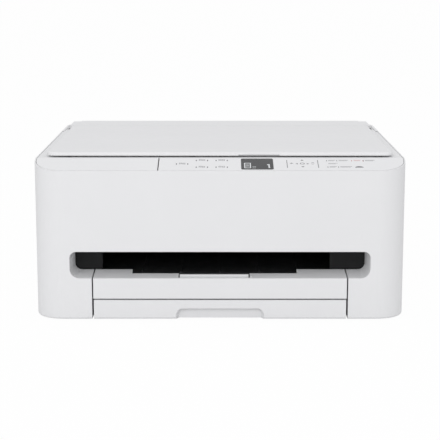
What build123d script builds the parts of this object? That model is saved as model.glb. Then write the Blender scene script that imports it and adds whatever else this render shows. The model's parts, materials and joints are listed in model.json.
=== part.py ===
"""A compact inkjet multifunction printer: scanner unit over a print mechanism, output tray and cassette.

Millimetres. +X is the right-hand side seen from the front, +Y points to the back, +Z up.
The origin is on the resting plane, under the middle of the plan.
"""

import os
from math import acos, cos, pi, radians, sin, sqrt, tan

from build123d import *

# Outside
width = 372.0
depth = 345.0
corner_radius = 28.0
wall = 2.8
casing_bottom = 2.0
bottom_fillet = 2.2
rim_top = 160.7
rim_thickness = 1.2
crease_drop = 8.2
ledge_slope = 13.5
foot_radius = 9.0
foot_inset = 32.0
base_thickness = 2.5
seam = 0.5
contact_gap = 0.3
pin_clearance = 0.05

front = -depth / 2
back = depth / 2
half_width = width / 2
crease_height = rim_top - crease_drop
knee = front + crease_drop / tan(radians(ledge_slope))
inner_half = half_width - wall
foot_x = half_width - 31.0

# Output slot and its bezel
slot_side_margin = 35.8
slot_bottom = 44.0
slot_height = 27.0
slot_top_radius = 6.5
slot_bottom_radius = 9.5
bezel_depth = 30.0
bezel_draft = 5.0
bezel_wall = 2.0
slot_half = half_width - slot_side_margin
slot_top = slot_bottom + slot_height

# Print mechanism: side plates, feed train and rails
plate_side_room = 28.0
plate_thickness = 2.0
feed_back_distance = 94.5
feed_radius = 7.5
shaft_radius = 4.0
pinch_radius = 4.5
pinch_shaft_radius = 1.5
paper_gap = 0.1
eject_radius = 5.7
gear_module = 1.25
feed_teeth = 32
idler_teeth = 45
eject_teeth = 24
motor_teeth = 18
motor_angle = 45.0
gear_width = 5.0
gear_hub_radius = 6.0
gear_hub_height = 1.2
gear_backlash = 0.2
pressure_angle = 20.0
stud_radius = 3.0
guide_shaft_radius = 4.5
beam_height = 22.0
front_rail_height = 16.0
pulley_radius = 6.0
pulley_width = 6.0
pulley_shaft_radius = 1.5
belt_thickness = 0.8

plate_inner = half_width - plate_side_room
gear_inner = plate_inner + plate_thickness + 1.0
feed_y = back - feed_back_distance
roller_z = slot_bottom + 21.0
roller_half = plate_inner - 42.0
pinch_shaft_half = roller_half - 4.0
pinch_z = roller_z + feed_radius + pinch_radius + paper_gap
feed_pitch = gear_module * feed_teeth / 2
idler_pitch = gear_module * idler_teeth / 2
eject_pitch = gear_module * eject_teeth / 2
motor_pitch = gear_module * motor_teeth / 2
idler_y = feed_y - feed_pitch - idler_pitch
eject_y = idler_y - idler_pitch - eject_pitch
motor_y = feed_y + (feed_pitch + motor_pitch) * cos(radians(motor_angle))
motor_z = roller_z + (feed_pitch + motor_pitch) * sin(radians(motor_angle))
guide_shaft_y = feed_y - 16.0
guide_shaft_z = roller_z + 24.0
beam_y = guide_shaft_y + 6.0
beam_bottom = guide_shaft_z + 11.0
beam_top = beam_bottom + beam_height
front_rail_y = eject_y - 2.25
front_rail_bottom = guide_shaft_z + 4.0
front_rail_top = front_rail_bottom + front_rail_height
pulley_z = guide_shaft_z + 18.5
pulley_y = beam_y - 9.0
pulley_x = plate_inner - 18.0

# Platen, carriage and maintenance station
carriage_width = 66.0
carriage_height = 29.0
carriage_wall = 2.0
bushing_radius = 8.0
lever_length = 30.0
lever_thickness = 3.0
lever_hub_radius = 3.0
lever_pin_radius = 1.2
lever_ear_half = 1.2
cross_bar_depth = 66.0

platen_top = roller_z - 1.0
rib_top = roller_z + 5.0
bar_top = roller_z - 14.3
station_back = guide_shaft_y + 4.0
station_front = station_back - cross_bar_depth
carriage_right = plate_inner - 7.0
carriage_left = carriage_right - carriage_width
carriage_middle = (carriage_left + carriage_right) / 2
platen_right = carriage_left + 1.0
carriage_front = eject_y + 9.25
carriage_rear = guide_shaft_y - 6.0
carriage_bottom = rib_top + 2.0
carriage_top = carriage_bottom + carriage_height
cartridge_top = carriage_top + 4.0
lever_y = carriage_rear - 5.0
lever_z = carriage_top + 8.0

# Bay for the output tray and the cassette
bay_side_margin = 21.8
tray_front_gap = 1.4
cassette_front_gap = 1.8
tray_side_gap = 3.8
runner_gap = 0.4
rail_thickness = 3.0
ledge_overlap = 1.8
ledge_height = 2.0
runner_height = 2.0
bay_half = slot_half - bay_side_margin
bay_back = back - 31.5
tray_front_half = bay_half - tray_front_gap
cassette_front_half = bay_half - cassette_front_gap
tray_side_half = bay_half - tray_side_gap
rail_half = bay_half + 0.6
runner_half = bay_half - runner_gap
ledge_half = runner_half - ledge_overlap
tray_ledge_z = slot_bottom - 13.0
rail_top = tray_ledge_z + 10.0

# Cassette
cassette_front_bottom = 2.0
cassette_front_thickness = 11.0
cassette_wall = 2.0
cassette_bottom = 3.5
recess_half = 44.2
recess_top = 13.0
recess_radius = 7.0
recess_depth = 6.5
cassette_front_top = slot_bottom - 22.3
cassette_side_top = cassette_front_top - 0.4
cassette_ledge_z = cassette_front_top - 6.7
cassette_back = bay_back - 4.0
cross_wall_top = cassette_side_top - 2.3

# Output tray
lip_depth = 30.0
lip_cut_start = 16.4
tray_floor_thickness = 2.2
tray_front_bottom = cassette_front_top + 1.4
lip_cut_left = -tray_front_half + 37.9
lip_cut_right = tray_front_half - 49.0
tray_floor_top = slot_bottom - 1.5
tray_floor_back = eject_y + 21.25

# Output support flap
flap_left = -40.4
flap_right = 28.6
flap_slit = 1.2
flap_start = 4.5
flap_length = 15.5
flap_lip = 2.8
flap_pin_radius = 1.2
flap_pin_y = front + flap_start + 2.0
flap_pin_z = slot_bottom - 0.2

# Cassette paper guides
rack_module = 1.0
rack_pinion_teeth = 16
rack_stud_radius = 2.5
rack_width = 3.0
rack_thickness = 2.0
rack_addendum = 0.9
rack_dedendum = 1.15
paper_side_room = 23.4
guide_wall = 2.0
guide_height = 11.0
guide_travel = 48.0
rack_reach = 7.0
paper_half = bay_half - paper_side_room
guide_front = front + 132.5
guide_back = cassette_back - 37.0
rack_line = (guide_front + guide_back) / 2 - 10.0

# Rear feed
rear_cover_depth = 64.1
rear_cover_rise = 4.1
rear_cover_thickness = 3.0
rear_cover_bevel = 4.0
rear_nose_radius = 5.6
rear_ear_radius = 4.0
rear_pin_radius = 2.0
rear_ear_width = 5.0
deck_drop = 7.7
deck_thickness = 2.5
chute_wall = 2.0
chute_knee_drop = 22.8
rear_guide_thickness = 3.0
rear_guide_height = 16.0
rear_cover_front = back - rear_cover_depth
rear_cover_top = rim_top + rear_cover_rise
rear_hinge_y = back - 12.0
rear_hinge_z = rear_cover_top - rear_nose_radius
rear_nose_half = half_width - 16.5
rear_corner_front = back - 22.5
rear_ear_x = half_width - 43.0
rear_strip_front = rear_hinge_y + rear_nose_radius + 0.6
deck_top = rim_top - deck_drop
chute_half = roller_half - 3.0
chute_front = back - 55.5
chute_rear = back - 20.5
chute_bottom_y = feed_y + 21.0
chute_bottom_z = roller_z + 11.0
chute_lip_y = chute_bottom_y - 6.0
chute_lip_z = chute_bottom_z + 17.0

# Rear access cover and the paper's turn behind it
access_gap = 0.5
access_hinge_z = 25.0
access_knuckle_radius = 3.3
access_thickness = 2.4
access_height = 82.0
access_pin_radius = 1.5
u_turn_z = 38.0
u_turn_inner = 29.5
u_turn_outer = 32.0
access_half = chute_half - 1.0
access_hinge_y = back - 3.5
access_top = access_hinge_z + access_height
u_turn_y = back - 54.5
u_turn_half = access_half - 2.0

# Power inlet, data port and what lies behind them
inlet_size = (27.0, 22.0, 21.0)
inlet_socket = (20.0, 14.0, 12.0)
port_size = (12.0, 16.0, 11.0)
port_socket = (8.4, 9.0, 7.8)
socket_recess = 0.8
inlet_z = 32.0
port_z = 30.0
supply_length = 90.0
supply_top = 58.0
supply_width = 13.0
main_board_length = 120.0
main_board_top = 100.0
board_thickness = 1.6
socket_x = half_width - 36.0
socket_face = back - socket_recess
supply_back = back - 42.5
main_board_back = back - 32.5

# Scanner unit
cover_thickness = 2.5
rebate_depth = 4.5
hinge_drop = 9.0
hinge_pin_radius = 2.0
hinge_head_radius = 4.0
hinge_bracket_thickness = 3.0
pan_side_room = 15.0
pan_depth = 32.5
pan_wall = 2.2
pan_corner = 24.0
glass_side_margin = 22.0
glass_overlap = 2.0
glass_thickness = 3.0
trough_drop = 4.9
trough_wall = 1.6
hinge_y = back - 84.5
hinge_z = rim_top - hinge_drop
hinge_bracket_inner = half_width - 7.4
wide_cover_back = hinge_y - 8.0
rebate_back = hinge_y + 2.0
cover_back = rear_cover_front - 4.9
narrow_cover_half = half_width - 3.4
pan_half = half_width - pan_side_room
pan_front = front + 5.0
pan_bottom = rim_top - pan_depth
trough_floor = rim_top - trough_drop

# Document cover
lid_side_margin = 10.5
lid_thickness = 3.3
lid_corner = 9.0
lid_rear_corner = 3.0
lid_edge_radius = 2.2
lid_knuckle_radius = 2.8
lid_pin_radius = 1.5
lid_boss_radius = 3.2
post_width = 14.0
post_thickness = 5.2
socket_wall = 1.5
lid_half = half_width - lid_side_margin
lid_front = front + 38.0
lid_back = back - 70.5
lid_bottom = rim_top + 1.7
lid_top = lid_bottom + lid_thickness
lid_hinge_y = lid_back - 3.5
lid_hinge_z = lid_bottom - 1.6
post_x = lid_half - 65.5
post_bottom = rim_top - 23.5
socket_bottom = post_bottom + 3.0
trough_half = lid_half + 1.0
trough_front = lid_back - 7.0

# Glass
glass_half = pan_half - glass_side_margin
glass_front = front + 47.0
glass_back = lid_back - 11.0
glass_low = rim_top - cover_thickness - glass_thickness
pan_back = glass_back + 0.6

# Operation panel
panel_left = -61.0
cover_slit = 1.0
panel_depth = 40.0
display_left = 21.0
display_right = 53.2
display_near = 3.8
display_far = 33.5
display_radius = 2.0
display_thickness = 1.2
touch_board_middle = (50.0, 21.5)
touch_board_size = (196.0, 24.0)
panel_back = front + panel_depth
lid_recess_left = display_left - 2.0
lid_recess_right = display_right + 6.8

# Image sensor and its rod
rod_radius = 3.0
sensor_width = 18.0
rod_y = (glass_front + glass_back) / 2 + 0.25
rod_z = pan_bottom + 8.0
sensor_left = -pan_half + 11.0
sensor_bottom = rod_z + 7.0

# Stay that holds the scanner unit open
stay_length = 70.0
stay_half = 3.5
stay_thickness = 2.5
stay_pin_radius = 2.0
stay_ratio = 0.509
scanner_opening = 40.0
stay_guide_thickness = 3.0
stay_slot_half = 2.7
stay_y = hinge_y - 78.0
stay_z = pan_bottom + 5.0
stay_inner = pan_half + 2.0
stay_guide_inner = stay_inner + stay_thickness + 1.0

# Roof over the output tray and the cover over the works
roof_thickness = 2.0
roof_bottom = slot_top - 1.5
roof_half = plate_inner - 8.0
roof_back = eject_y - 14.0
mechanism_cover_z = pan_bottom - 14.0
mechanism_cover_thickness = 2.0
mechanism_cover_back = back - 60.5


def surface_points(drop):
    """The surround's side line, lowered by drop: up the ledge to the knee, then level to the back."""
    return [
        (front - 10, crease_height - drop - 10 * tan(radians(ledge_slope))),
        (knee, rim_top - drop),
        (back + 10, rim_top - drop),
    ]


def surround_band(top_drop, bottom_drop, inset, y_limit, low_half=half_width):
    """The layer between two lowered surround surfaces, within the plan inset from the outside."""
    with BuildPart() as band:
        with BuildSketch(Plane.YZ.offset(-half_width)):
            with BuildLine():
                upper = surface_points(top_drop)
                lower = surface_points(bottom_drop)
                Polyline(*upper, *reversed(lower), close=True)
            make_face()
        extrude(amount=width)
        with BuildSketch(Plane.XY.offset(crease_height - 50)):
            RectangleRounded(width - 2 * inset, depth - 2 * inset, corner_radius - inset)
            with Locations((0, (front + y_limit) / 2)):
                Rectangle(2 * low_half, y_limit - front, mode=Mode.INTERSECT)
        extrude(amount=100, mode=Mode.INTERSECT)
    return band.part


def block(x, y, z, mode=Mode.ADD):
    """A plain block between the two limits given for each direction, in the part being built."""
    with Locations(((x[0] + x[1]) / 2, (y[0] + y[1]) / 2, (z[0] + z[1]) / 2)):
        Box(x[1] - x[0], y[1] - y[0], z[1] - z[0], mode=mode)


def side_profile(x_start, length, points, mode=Mode.ADD):
    """A straight-edged profile in the Y-Z plane, drawn out along X."""
    with BuildSketch(Plane.YZ.offset(x_start)) as profile:
        with BuildLine():
            Polyline(*points, close=True)
        make_face()
    extrude(profile.sketch, amount=length, mode=mode)


def rod(x_start, x_end, y, z, radius, mode=Mode.ADD):
    """A round rod along X."""
    with BuildSketch(Plane.YZ.offset(x_start)) as disc:
        with Locations((y, z)):
            Circle(radius)
    extrude(disc.sketch, amount=x_end - x_start, mode=mode)


def slot_sketch(grow):
    """The output slot's outline on the front, grown outwards by grow, in the sketch being built."""
    length = 2 * (slot_half + grow)
    height = slot_top - slot_bottom + 2 * grow
    middle = (slot_top + slot_bottom) / 2
    with Locations((0, middle + height / 4)):
        upper = Rectangle(length, height / 2)
    fillet(upper.vertices().group_by(Axis.Y)[-1], slot_top_radius + grow)
    with Locations((0, middle)):
        RectangleRounded(length, height, slot_bottom_radius + grow)


def make_main_casing():
    with BuildPart() as casing:
        with BuildSketch(Plane.XY.offset(casing_bottom)):
            RectangleRounded(width, depth, corner_radius)
        extrude(amount=rim_top - casing_bottom)
        fillet(casing.faces().sort_by(Axis.Z)[0].edges(), bottom_fillet)
        # Cavity, with a strip of deck left along the back at the top
        with BuildSketch(Plane.XY.offset(casing_bottom + wall)):
            RectangleRounded(width - 2 * wall, depth - 2 * wall, corner_radius - wall)
        extrude(amount=rim_top - casing_bottom - 2 * wall, mode=Mode.SUBTRACT)
        with BuildSketch(Plane.XY.offset(rim_top - wall)):
            RectangleRounded(width - 2 * wall, depth - 2 * wall, corner_radius - wall)
            with Locations((0, (front + rear_strip_front) / 2)):
                Rectangle(width, rear_strip_front - front, mode=Mode.INTERSECT)
            corner = half_width - rear_nose_half - seam
            middle = (half_width - corner / 2, (back + rear_corner_front) / 2)
            with Locations(middle, (-middle[0], middle[1])):
                Rectangle(corner, back - rear_corner_front, mode=Mode.SUBTRACT)
        extrude(amount=wall, mode=Mode.SUBTRACT)
        # Sloping front edge and the rebate that the scanner unit closes on
        add(surround_band(-30, 0, 0, back), mode=Mode.SUBTRACT)
        add(surround_band(-30, rebate_depth, rim_thickness, rebate_back), mode=Mode.SUBTRACT)
        # Bezel of the output slot
        with BuildSketch(Plane.XZ.offset(-front)):
            slot_sketch(bezel_wall)
        extrude(amount=-bezel_depth, taper=bezel_draft)
        with BuildSketch(Plane.XZ.offset(-front)):
            slot_sketch(0)
        extrude(amount=-bezel_depth, taper=bezel_draft, mode=Mode.SUBTRACT)
        # Cheeks beside the bay, then the bay itself
        for side in (-1, 1):
            with BuildSketch(Plane.XY.offset(casing_bottom + wall)):
                with Locations((side * (bay_half + wall / 2), front + wall + 13)):
                    Rectangle(wall, 26)
            extrude(amount=slot_bottom - casing_bottom - wall)
        bay = (-bay_half, bay_half)
        block(bay, (front - 1, front + bezel_depth + 1), (0, slot_bottom + 6), Mode.SUBTRACT)
        block(bay, (front, bay_back), (0, casing_bottom + wall), Mode.SUBTRACT)
        # Openings in the back wall
        opening = access_half + access_gap
        low = access_hinge_z - access_knuckle_radius - access_gap
        block((-opening, opening), (back - 5, back + 1), (low, access_top + access_gap), Mode.SUBTRACT)
        for x, z, size in ((-socket_x, inlet_z, inlet_size), (socket_x, port_z, port_size)):
            with Locations((x, back, z)):
                Box(size[0] + 2 * contact_gap, 4 * wall, size[2] + 2 * contact_gap, mode=Mode.SUBTRACT)
        # Bearings of the rear access cover
        for side in (-1, 1):
            start = side * (access_half + 3.5) - 2
            block(
                (start, start + 4),
                (back - wall - 7, back - wall),
                (access_hinge_z - 4, access_hinge_z + 4),
            )
            bore = access_pin_radius + pin_clearance
            rod(start - 1, start + 5, access_hinge_y, access_hinge_z, bore, Mode.SUBTRACT)
    return casing.part


def make_base_frame():
    floor = casing_bottom + wall
    with BuildPart() as base:
        with BuildSketch(Plane.XY.offset(floor)):
            RectangleRounded(2 * inner_half - 2, depth - 2 * wall - 2, corner_radius - wall - 1)
            with Locations((0, (front + bay_back) / 2)):
                Rectangle(2 * rail_half, bay_back - front, mode=Mode.SUBTRACT)
            with Locations((0, front)):
                Rectangle(width, 60, mode=Mode.SUBTRACT)
        extrude(amount=base_thickness)
        for side in (-1, 1):
            outer = side * (rail_half + rail_thickness)
            inner = side * rail_half
            x = (min(inner, outer), max(inner, outer))
            block(x, (front + 33, bay_back), (floor, rail_top))
            shelf = (min(side * ledge_half, inner), max(side * ledge_half, inner))
            for z in (cassette_ledge_z, tray_ledge_z):
                end = bay_back if z == cassette_ledge_z else tray_floor_back
                block(shelf, (front + 33, end), (z, z + ledge_height))
        # Cross wall behind the bay
        reach = rail_half + rail_thickness
        block((-reach, reach), (bay_back, bay_back + base_thickness), (floor, cross_wall_top))
    return base.part


def make_rubber_feet():
    with BuildPart() as feet:
        with Locations((0, (front + back) / 2, 0)):
            with GridLocations(2 * foot_x, depth - 2 * foot_inset, 2, 2):
                Cylinder(foot_radius, casing_bottom, align=(Align.CENTER, Align.CENTER, Align.MIN))
        chamfer(feet.faces().group_by(Axis.Z)[0].edges(), 0.8)
    return feet.part


def make_chassis():
    reach_front = eject_y - 12
    reach_back = motor_y + 16
    with BuildPart() as chassis:
        for side in (-1, 1):
            start = plate_inner if side > 0 else -plate_inner - plate_thickness
            foot = casing_bottom + wall + base_thickness
            side_profile(
                start,
                plate_thickness,
                [
                    (reach_front, foot),
                    (reach_back, foot),
                    (reach_back, motor_z + 16),
                    (beam_y + 10, beam_top),
                    (reach_front, front_rail_top),
                ],
            )
            # Window that lightens the plate
            block(
                (start - 1, start + plate_thickness + 1),
                (eject_y + 13.25, feed_y + 12),
                (slot_bottom - 29, slot_bottom + 1),
                Mode.SUBTRACT,
            )
            for y, z, radius in (
                (feed_y, roller_z, shaft_radius + pin_clearance),
                (eject_y, roller_z, shaft_radius + pin_clearance),
                (guide_shaft_y, guide_shaft_z, guide_shaft_radius + pin_clearance),
            ):
                rod(start - 1, start + plate_thickness + 1, y, z, radius, Mode.SUBTRACT)
        rod(
            -plate_inner - plate_thickness - 1,
            -plate_inner + 1,
            motor_y,
            motor_z,
            5,
            Mode.SUBTRACT,
        )
        # Beam across the back of the carriage path, with a folded top
        block((-plate_inner, plate_inner), (beam_y, beam_y + 2), (beam_bottom, beam_top))
        block((-plate_inner, plate_inner), (beam_y, beam_y + 8), (beam_top - 2, beam_top))
        # Front rail that carries the carriage's foot
        rail_z = (front_rail_bottom, front_rail_top)
        block((-plate_inner, plate_inner), (front_rail_y, front_rail_y + 2), rail_z)
        # Stud of the idler gear
        stud_end = -gear_inner - gear_width - 1.5
        rod(stud_end, -plate_inner - plate_thickness, idler_y, roller_z, stud_radius)
        # Holes for the pulley shafts
        for x in (-pulley_x, pulley_x):
            with Locations(Plane((x, beam_y - 1, pulley_z), z_dir=(0, 1, 0))):
                hole = pulley_shaft_radius + (0.8 if x > 0 else pin_clearance)
                Cylinder(hole, 12, align=(Align.CENTER, Align.CENTER, Align.MIN), mode=Mode.SUBTRACT)
    return chassis.part


def make_guide_shaft():
    reach = plate_inner + plate_thickness + 1
    with BuildPart() as shaft:
        rod(-reach, reach, guide_shaft_y, guide_shaft_z, guide_shaft_radius)
        chamfer(shaft.edges().filter_by(GeomType.CIRCLE), 0.6)
    return shaft.part


def rib_places(pitch):
    """Where ribs stand along the platen, from its left end."""
    count = int((roller_half - 6 + platen_right) / pitch) + 1
    return [6 - roller_half + pitch * n for n in range(count)]


def make_platen():
    reach = plate_inner - contact_gap
    with BuildPart() as platen:
        block((-roller_half, platen_right), (eject_y + 7, feed_y - 9), (platen_top - 7, platen_top))
        for x in rib_places(20):
            block((x - 1, x + 1), (eject_y + 9, feed_y - 11), (platen_top, rib_top))
        # Cross bar between the side plates, and the webs that stand on it
        block((-reach, reach), (station_front, station_back), (bar_top - 3.7, bar_top))
        for x in rib_places(36):
            block((x - 1, x + 1), (station_front, station_back), (bar_top, platen_top - 7))
    return platen.part


def make_maintenance_station():
    low = bar_top + contact_gap
    middle = (station_front + station_back) / 2
    outer = (carriage_left + 5, carriage_right - 1)
    with BuildPart() as station:
        block(outer, (station_front, station_back), (low, roller_z))
        # Two wiping caps under the parked print head
        with Locations((carriage_middle, middle, roller_z)):
            Box(44, 46, 5, align=(Align.CENTER, Align.CENTER, Align.MIN))
        for x in (carriage_middle - 12, carriage_middle + 12):
            with Locations((x, middle, roller_z + 2)):
                Box(15, 38, 4, align=(Align.CENTER, Align.CENTER, Align.MIN), mode=Mode.SUBTRACT)
        # Bay of the pump, open underneath
        block(
            (outer[0] + 2, outer[1] - 2),
            (station_front + 2, station_front + 20),
            (bar_top, roller_z - 6),
            Mode.SUBTRACT,
        )
    return station.part


def involute(radius, base):
    """The involute function at a radius, 0 inside the base circle."""
    if radius <= base:
        return 0.0
    angle = acos(base / radius)
    return tan(angle) - angle


def gear_points(teeth, module, phase):
    """The corners of an involute gear's outline, with one tooth's middle at the phase angle in degrees."""
    pitch = module * teeth / 2
    base = pitch * cos(radians(pressure_angle))
    radii = (pitch - 1.25 * module, pitch, pitch + module)
    half = pi / (2 * teeth) - gear_backlash / (2 * pitch) + involute(pitch, base)
    points = []
    for tooth in range(teeth):
        middle = radians(phase) + 2 * pi * tooth / teeth
        for side, flank in ((-1, radii), (1, radii[::-1])):
            for radius in flank:
                angle = middle + side * (half - involute(radius, base))
                points.append((radius * cos(angle), radius * sin(angle)))
    return points


def train_gear(y, z, teeth, phase, bore, hub=False, holes=0):
    """A gear of the feed train, its axis along X, with an optional hub on its outer face."""
    start = -gear_inner - gear_width
    face = Plane((start, y, z), x_dir=(0, 1, 0), z_dir=(1, 0, 0))
    with BuildPart() as gear:
        with BuildSketch(face):
            with BuildLine():
                Polyline(*gear_points(teeth, gear_module, phase), close=True)
            make_face()
            Circle(bore, mode=Mode.SUBTRACT)
            if holes:
                with PolarLocations(gear_module * teeth * 0.3, holes):
                    Circle(gear_module * teeth * 0.09, mode=Mode.SUBTRACT)
        extrude(amount=gear_width)
        if hub:
            with BuildSketch(face.offset(-gear_hub_height)):
                Circle(gear_hub_radius)
                Circle(bore, mode=Mode.SUBTRACT)
            extrude(amount=gear_hub_height)
    return gear.part


def make_roller(y, z, radius, sections):
    """A steel shaft with rubber-coated sections, journals in both side plates and a long left end."""
    with BuildPart() as roller:
        rod(-gear_inner - gear_width - 1, plate_inner + plate_thickness + 1, y, z, shaft_radius)
        for start, end in sections:
            rod(start, end, y, z, radius)
    return roller.part


def eject_sections():
    pitch = (2 * roller_half - 42) / 5
    return [(x - 6, x + 6) for x in [pitch * (n - 2.5) for n in range(6)]]


def make_pinch_rollers():
    pitch = pinch_shaft_half / 2
    with BuildPart() as rollers:
        rod(-pinch_shaft_half, pinch_shaft_half, feed_y, pinch_z, pinch_shaft_radius)
        for n in range(4):
            middle = pitch * (n - 1.5)
            rod(middle - 19, middle + 19, feed_y, pinch_z, pinch_radius)
    return rollers.part


def make_pinch_holder():
    bar_low = pinch_z + pinch_radius + 4
    end = pinch_shaft_half + 2.5
    reach = pinch_shaft_half + 1
    with BuildPart() as holder:
        block((-plate_inner, plate_inner), (feed_y - 3, feed_y + 8), (bar_low, bar_low + 3))
        for x in (-end, -end / 2, 0, end / 2, end):
            block((x - 2, x + 2), (feed_y - 3, feed_y + 4), (pinch_z - 3.5, bar_low))
        rod(-reach, reach, feed_y, pinch_z, pinch_shaft_radius + pin_clearance, Mode.SUBTRACT)
    return holder.part


def make_motor(y, z, x, length, radius, axis_y=False):
    """A can motor with its shaft's bore, along X from x or, for axis_y, along Y from y."""
    plane = Plane((x, y, z), z_dir=(0, 1, 0)) if axis_y else Plane((x, y, z), z_dir=(1, 0, 0))
    with BuildPart() as motor:
        with BuildSketch(plane):
            Circle(radius)
        extrude(amount=length)
        chamfer(motor.faces().sort_by(Axis(plane.origin, plane.z_dir))[-1].edges(), 1.2)
        with BuildSketch(plane):
            Circle(pulley_shaft_radius + pin_clearance)
        extrude(amount=7, mode=Mode.SUBTRACT)
    return motor.part


def make_motor_pinion():
    with BuildPart() as pinion:
        add(train_gear(motor_y, motor_z, motor_teeth, 15.0, 1.0))
        rod(-gear_inner - gear_width, -plate_inner + 6, motor_y, motor_z, pulley_shaft_radius)
    return pinion.part


def make_pulley(x, with_shaft):
    """A belt pulley between flanges, its axis along Y."""
    plane = Plane((x, pulley_y, pulley_z), z_dir=(0, 1, 0))
    with BuildPart() as pulley:
        with BuildSketch(plane):
            Circle(pulley_radius)
        extrude(amount=pulley_width)
        for offset in (-0.8, pulley_width):
            with BuildSketch(plane.offset(offset)):
                Circle(pulley_radius + 1.8)
            extrude(amount=0.8)
        with BuildSketch(plane):
            Circle(pulley_shaft_radius)
        if with_shaft:
            extrude(amount=beam_y + 2 + 6 - pulley_y)
        else:
            extrude(amount=beam_y + 2 - pulley_y)
    return pulley.part


def make_carriage_belt():
    plane = Plane((0, pulley_y + 0.5, pulley_z), x_dir=(1, 0, 0), z_dir=(0, 1, 0))
    inner = pulley_radius + 0.05
    with BuildPart() as belt:
        with BuildSketch(plane):
            SlotCenterToCenter(2 * pulley_x, 2 * (inner + belt_thickness))
            SlotCenterToCenter(2 * pulley_x, 2 * inner, mode=Mode.SUBTRACT)
        extrude(amount=pulley_width - 1)
    return belt.part


def make_carriage():
    with BuildPart() as carriage:
        reach = (carriage_left, carriage_right)
        block(reach, (carriage_front, carriage_rear), (carriage_bottom, carriage_top))
        block(
            (carriage_left + carriage_wall, carriage_right - carriage_wall),
            (carriage_front + carriage_wall, carriage_rear - carriage_wall),
            (carriage_bottom + carriage_wall, carriage_top + 1),
            Mode.SUBTRACT,
        )
        block(
            (carriage_middle - 1, carriage_middle + 1),
            (carriage_front + carriage_wall, carriage_rear - carriage_wall),
            (carriage_bottom + carriage_wall, carriage_top),
        )
        # Print head plate under the tub
        block(
            (carriage_left + 14, carriage_right - 14),
            (carriage_rear - 36, carriage_rear - 10),
            (carriage_bottom - 1, carriage_bottom),
        )
        # Bushing on the guide shaft
        with BuildSketch(Plane.YZ.offset(carriage_left)):
            with Locations((guide_shaft_y, guide_shaft_z)):
                Circle(bushing_radius)
        extrude(amount=carriage_right - carriage_left)
        block(
            reach,
            (carriage_rear - carriage_wall, guide_shaft_y),
            (guide_shaft_z - 6, guide_shaft_z + 6),
        )
        rod(
            carriage_left - 1,
            carriage_right + 1,
            guide_shaft_y,
            guide_shaft_z,
            guide_shaft_radius + pin_clearance,
            Mode.SUBTRACT,
        )
        # Foot on the front rail
        block(
            (carriage_left + 6, carriage_right - 6),
            (front_rail_y - 2, carriage_front + carriage_wall),
            (front_rail_top + contact_gap, front_rail_top + contact_gap + 2),
        )
        block(
            (carriage_left + 6, carriage_right - 6),
            (carriage_front, carriage_front + carriage_wall),
            (carriage_top, front_rail_top + contact_gap + 2),
        )
        # Hinge ears of the lock levers
        for x in lever_ear_positions():
            ear = (x - lever_ear_half, x + lever_ear_half)
            block(ear, (lever_y - 3.5, lever_y + 3.5), (carriage_top - 4, lever_z + 2.4))
        for low, high in lever_pin_spans():
            rod(low, high, lever_y, lever_z, lever_pin_radius)
    return carriage.part


def lever_ear_positions():
    return (carriage_left + lever_ear_half, carriage_middle, carriage_right - lever_ear_half)


def lever_pin_spans():
    ears = lever_ear_positions()
    return (
        (ears[0], ears[0] + 4),
        (ears[1] - 4, ears[1] + 4),
        (ears[2] - 4, ears[2]),
    )


def make_cartridge(index):
    ears = lever_ear_positions()
    left = (carriage_left + carriage_wall, ears[1] + 1)[index] + contact_gap
    right = (ears[1] - 1, carriage_right - carriage_wall)[index] - contact_gap
    floor = carriage_bottom + carriage_wall
    y_front = carriage_front + carriage_wall + contact_gap
    y_rear = lever_y - 5
    with BuildPart() as cartridge:
        block((left, right), (y_front, y_rear), (floor, cartridge_top))
        fillet(cartridge.edges().filter_by(Axis.Z), 2)
        with Locations(((left + right) / 2, (y_front + y_rear) / 2, cartridge_top)):
            Box(right - left - 8, 20, 1.2, align=(Align.CENTER, Align.CENTER, Align.MIN))
    return cartridge.part


def make_lever(index):
    ears = lever_ear_positions()
    left = ears[index] + lever_ear_half + contact_gap
    right = ears[index + 1] - lever_ear_half - contact_gap
    with BuildPart() as lever:
        rod(left, right, lever_y, lever_z, lever_hub_radius)
        z = (lever_z - lever_thickness / 2, lever_z + lever_thickness / 2)
        block((left, right), (lever_y - lever_length, lever_y), z)
        fillet(lever.edges().filter_by(Axis.Z).group_by(Axis.Y)[0], 3)
        rod(left - 1, right + 1, lever_y, lever_z, lever_pin_radius + pin_clearance, Mode.SUBTRACT)
    return lever.part


def make_inner_frame():
    start = front + bezel_depth
    outer = roof_half - 2.6
    lean = 8
    with BuildPart() as frame:
        block((-roof_half, roof_half), (start, roof_back), (roof_bottom, roof_bottom + roof_thickness))
        for side, inner in ((-1, roller_half + 3.7), (1, roller_half - 4)):
            with BuildSketch(Plane.XY.offset(slot_bottom + 3)):
                with BuildLine():
                    Polyline(
                        (side * outer, start),
                        (side * inner, start),
                        (side * (inner + lean), roof_back),
                        (side * outer, roof_back),
                        close=True,
                    )
                make_face()
            extrude(amount=roof_bottom - slot_bottom - 3)
        # Cross ribs under the roof
        for y in (start + 25, start + 50, start + 75):
            block((-roller_half - 3, roller_half - 5), (y - 1, y + 1), (roof_bottom - 5.2, roof_bottom))
    return frame.part


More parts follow.
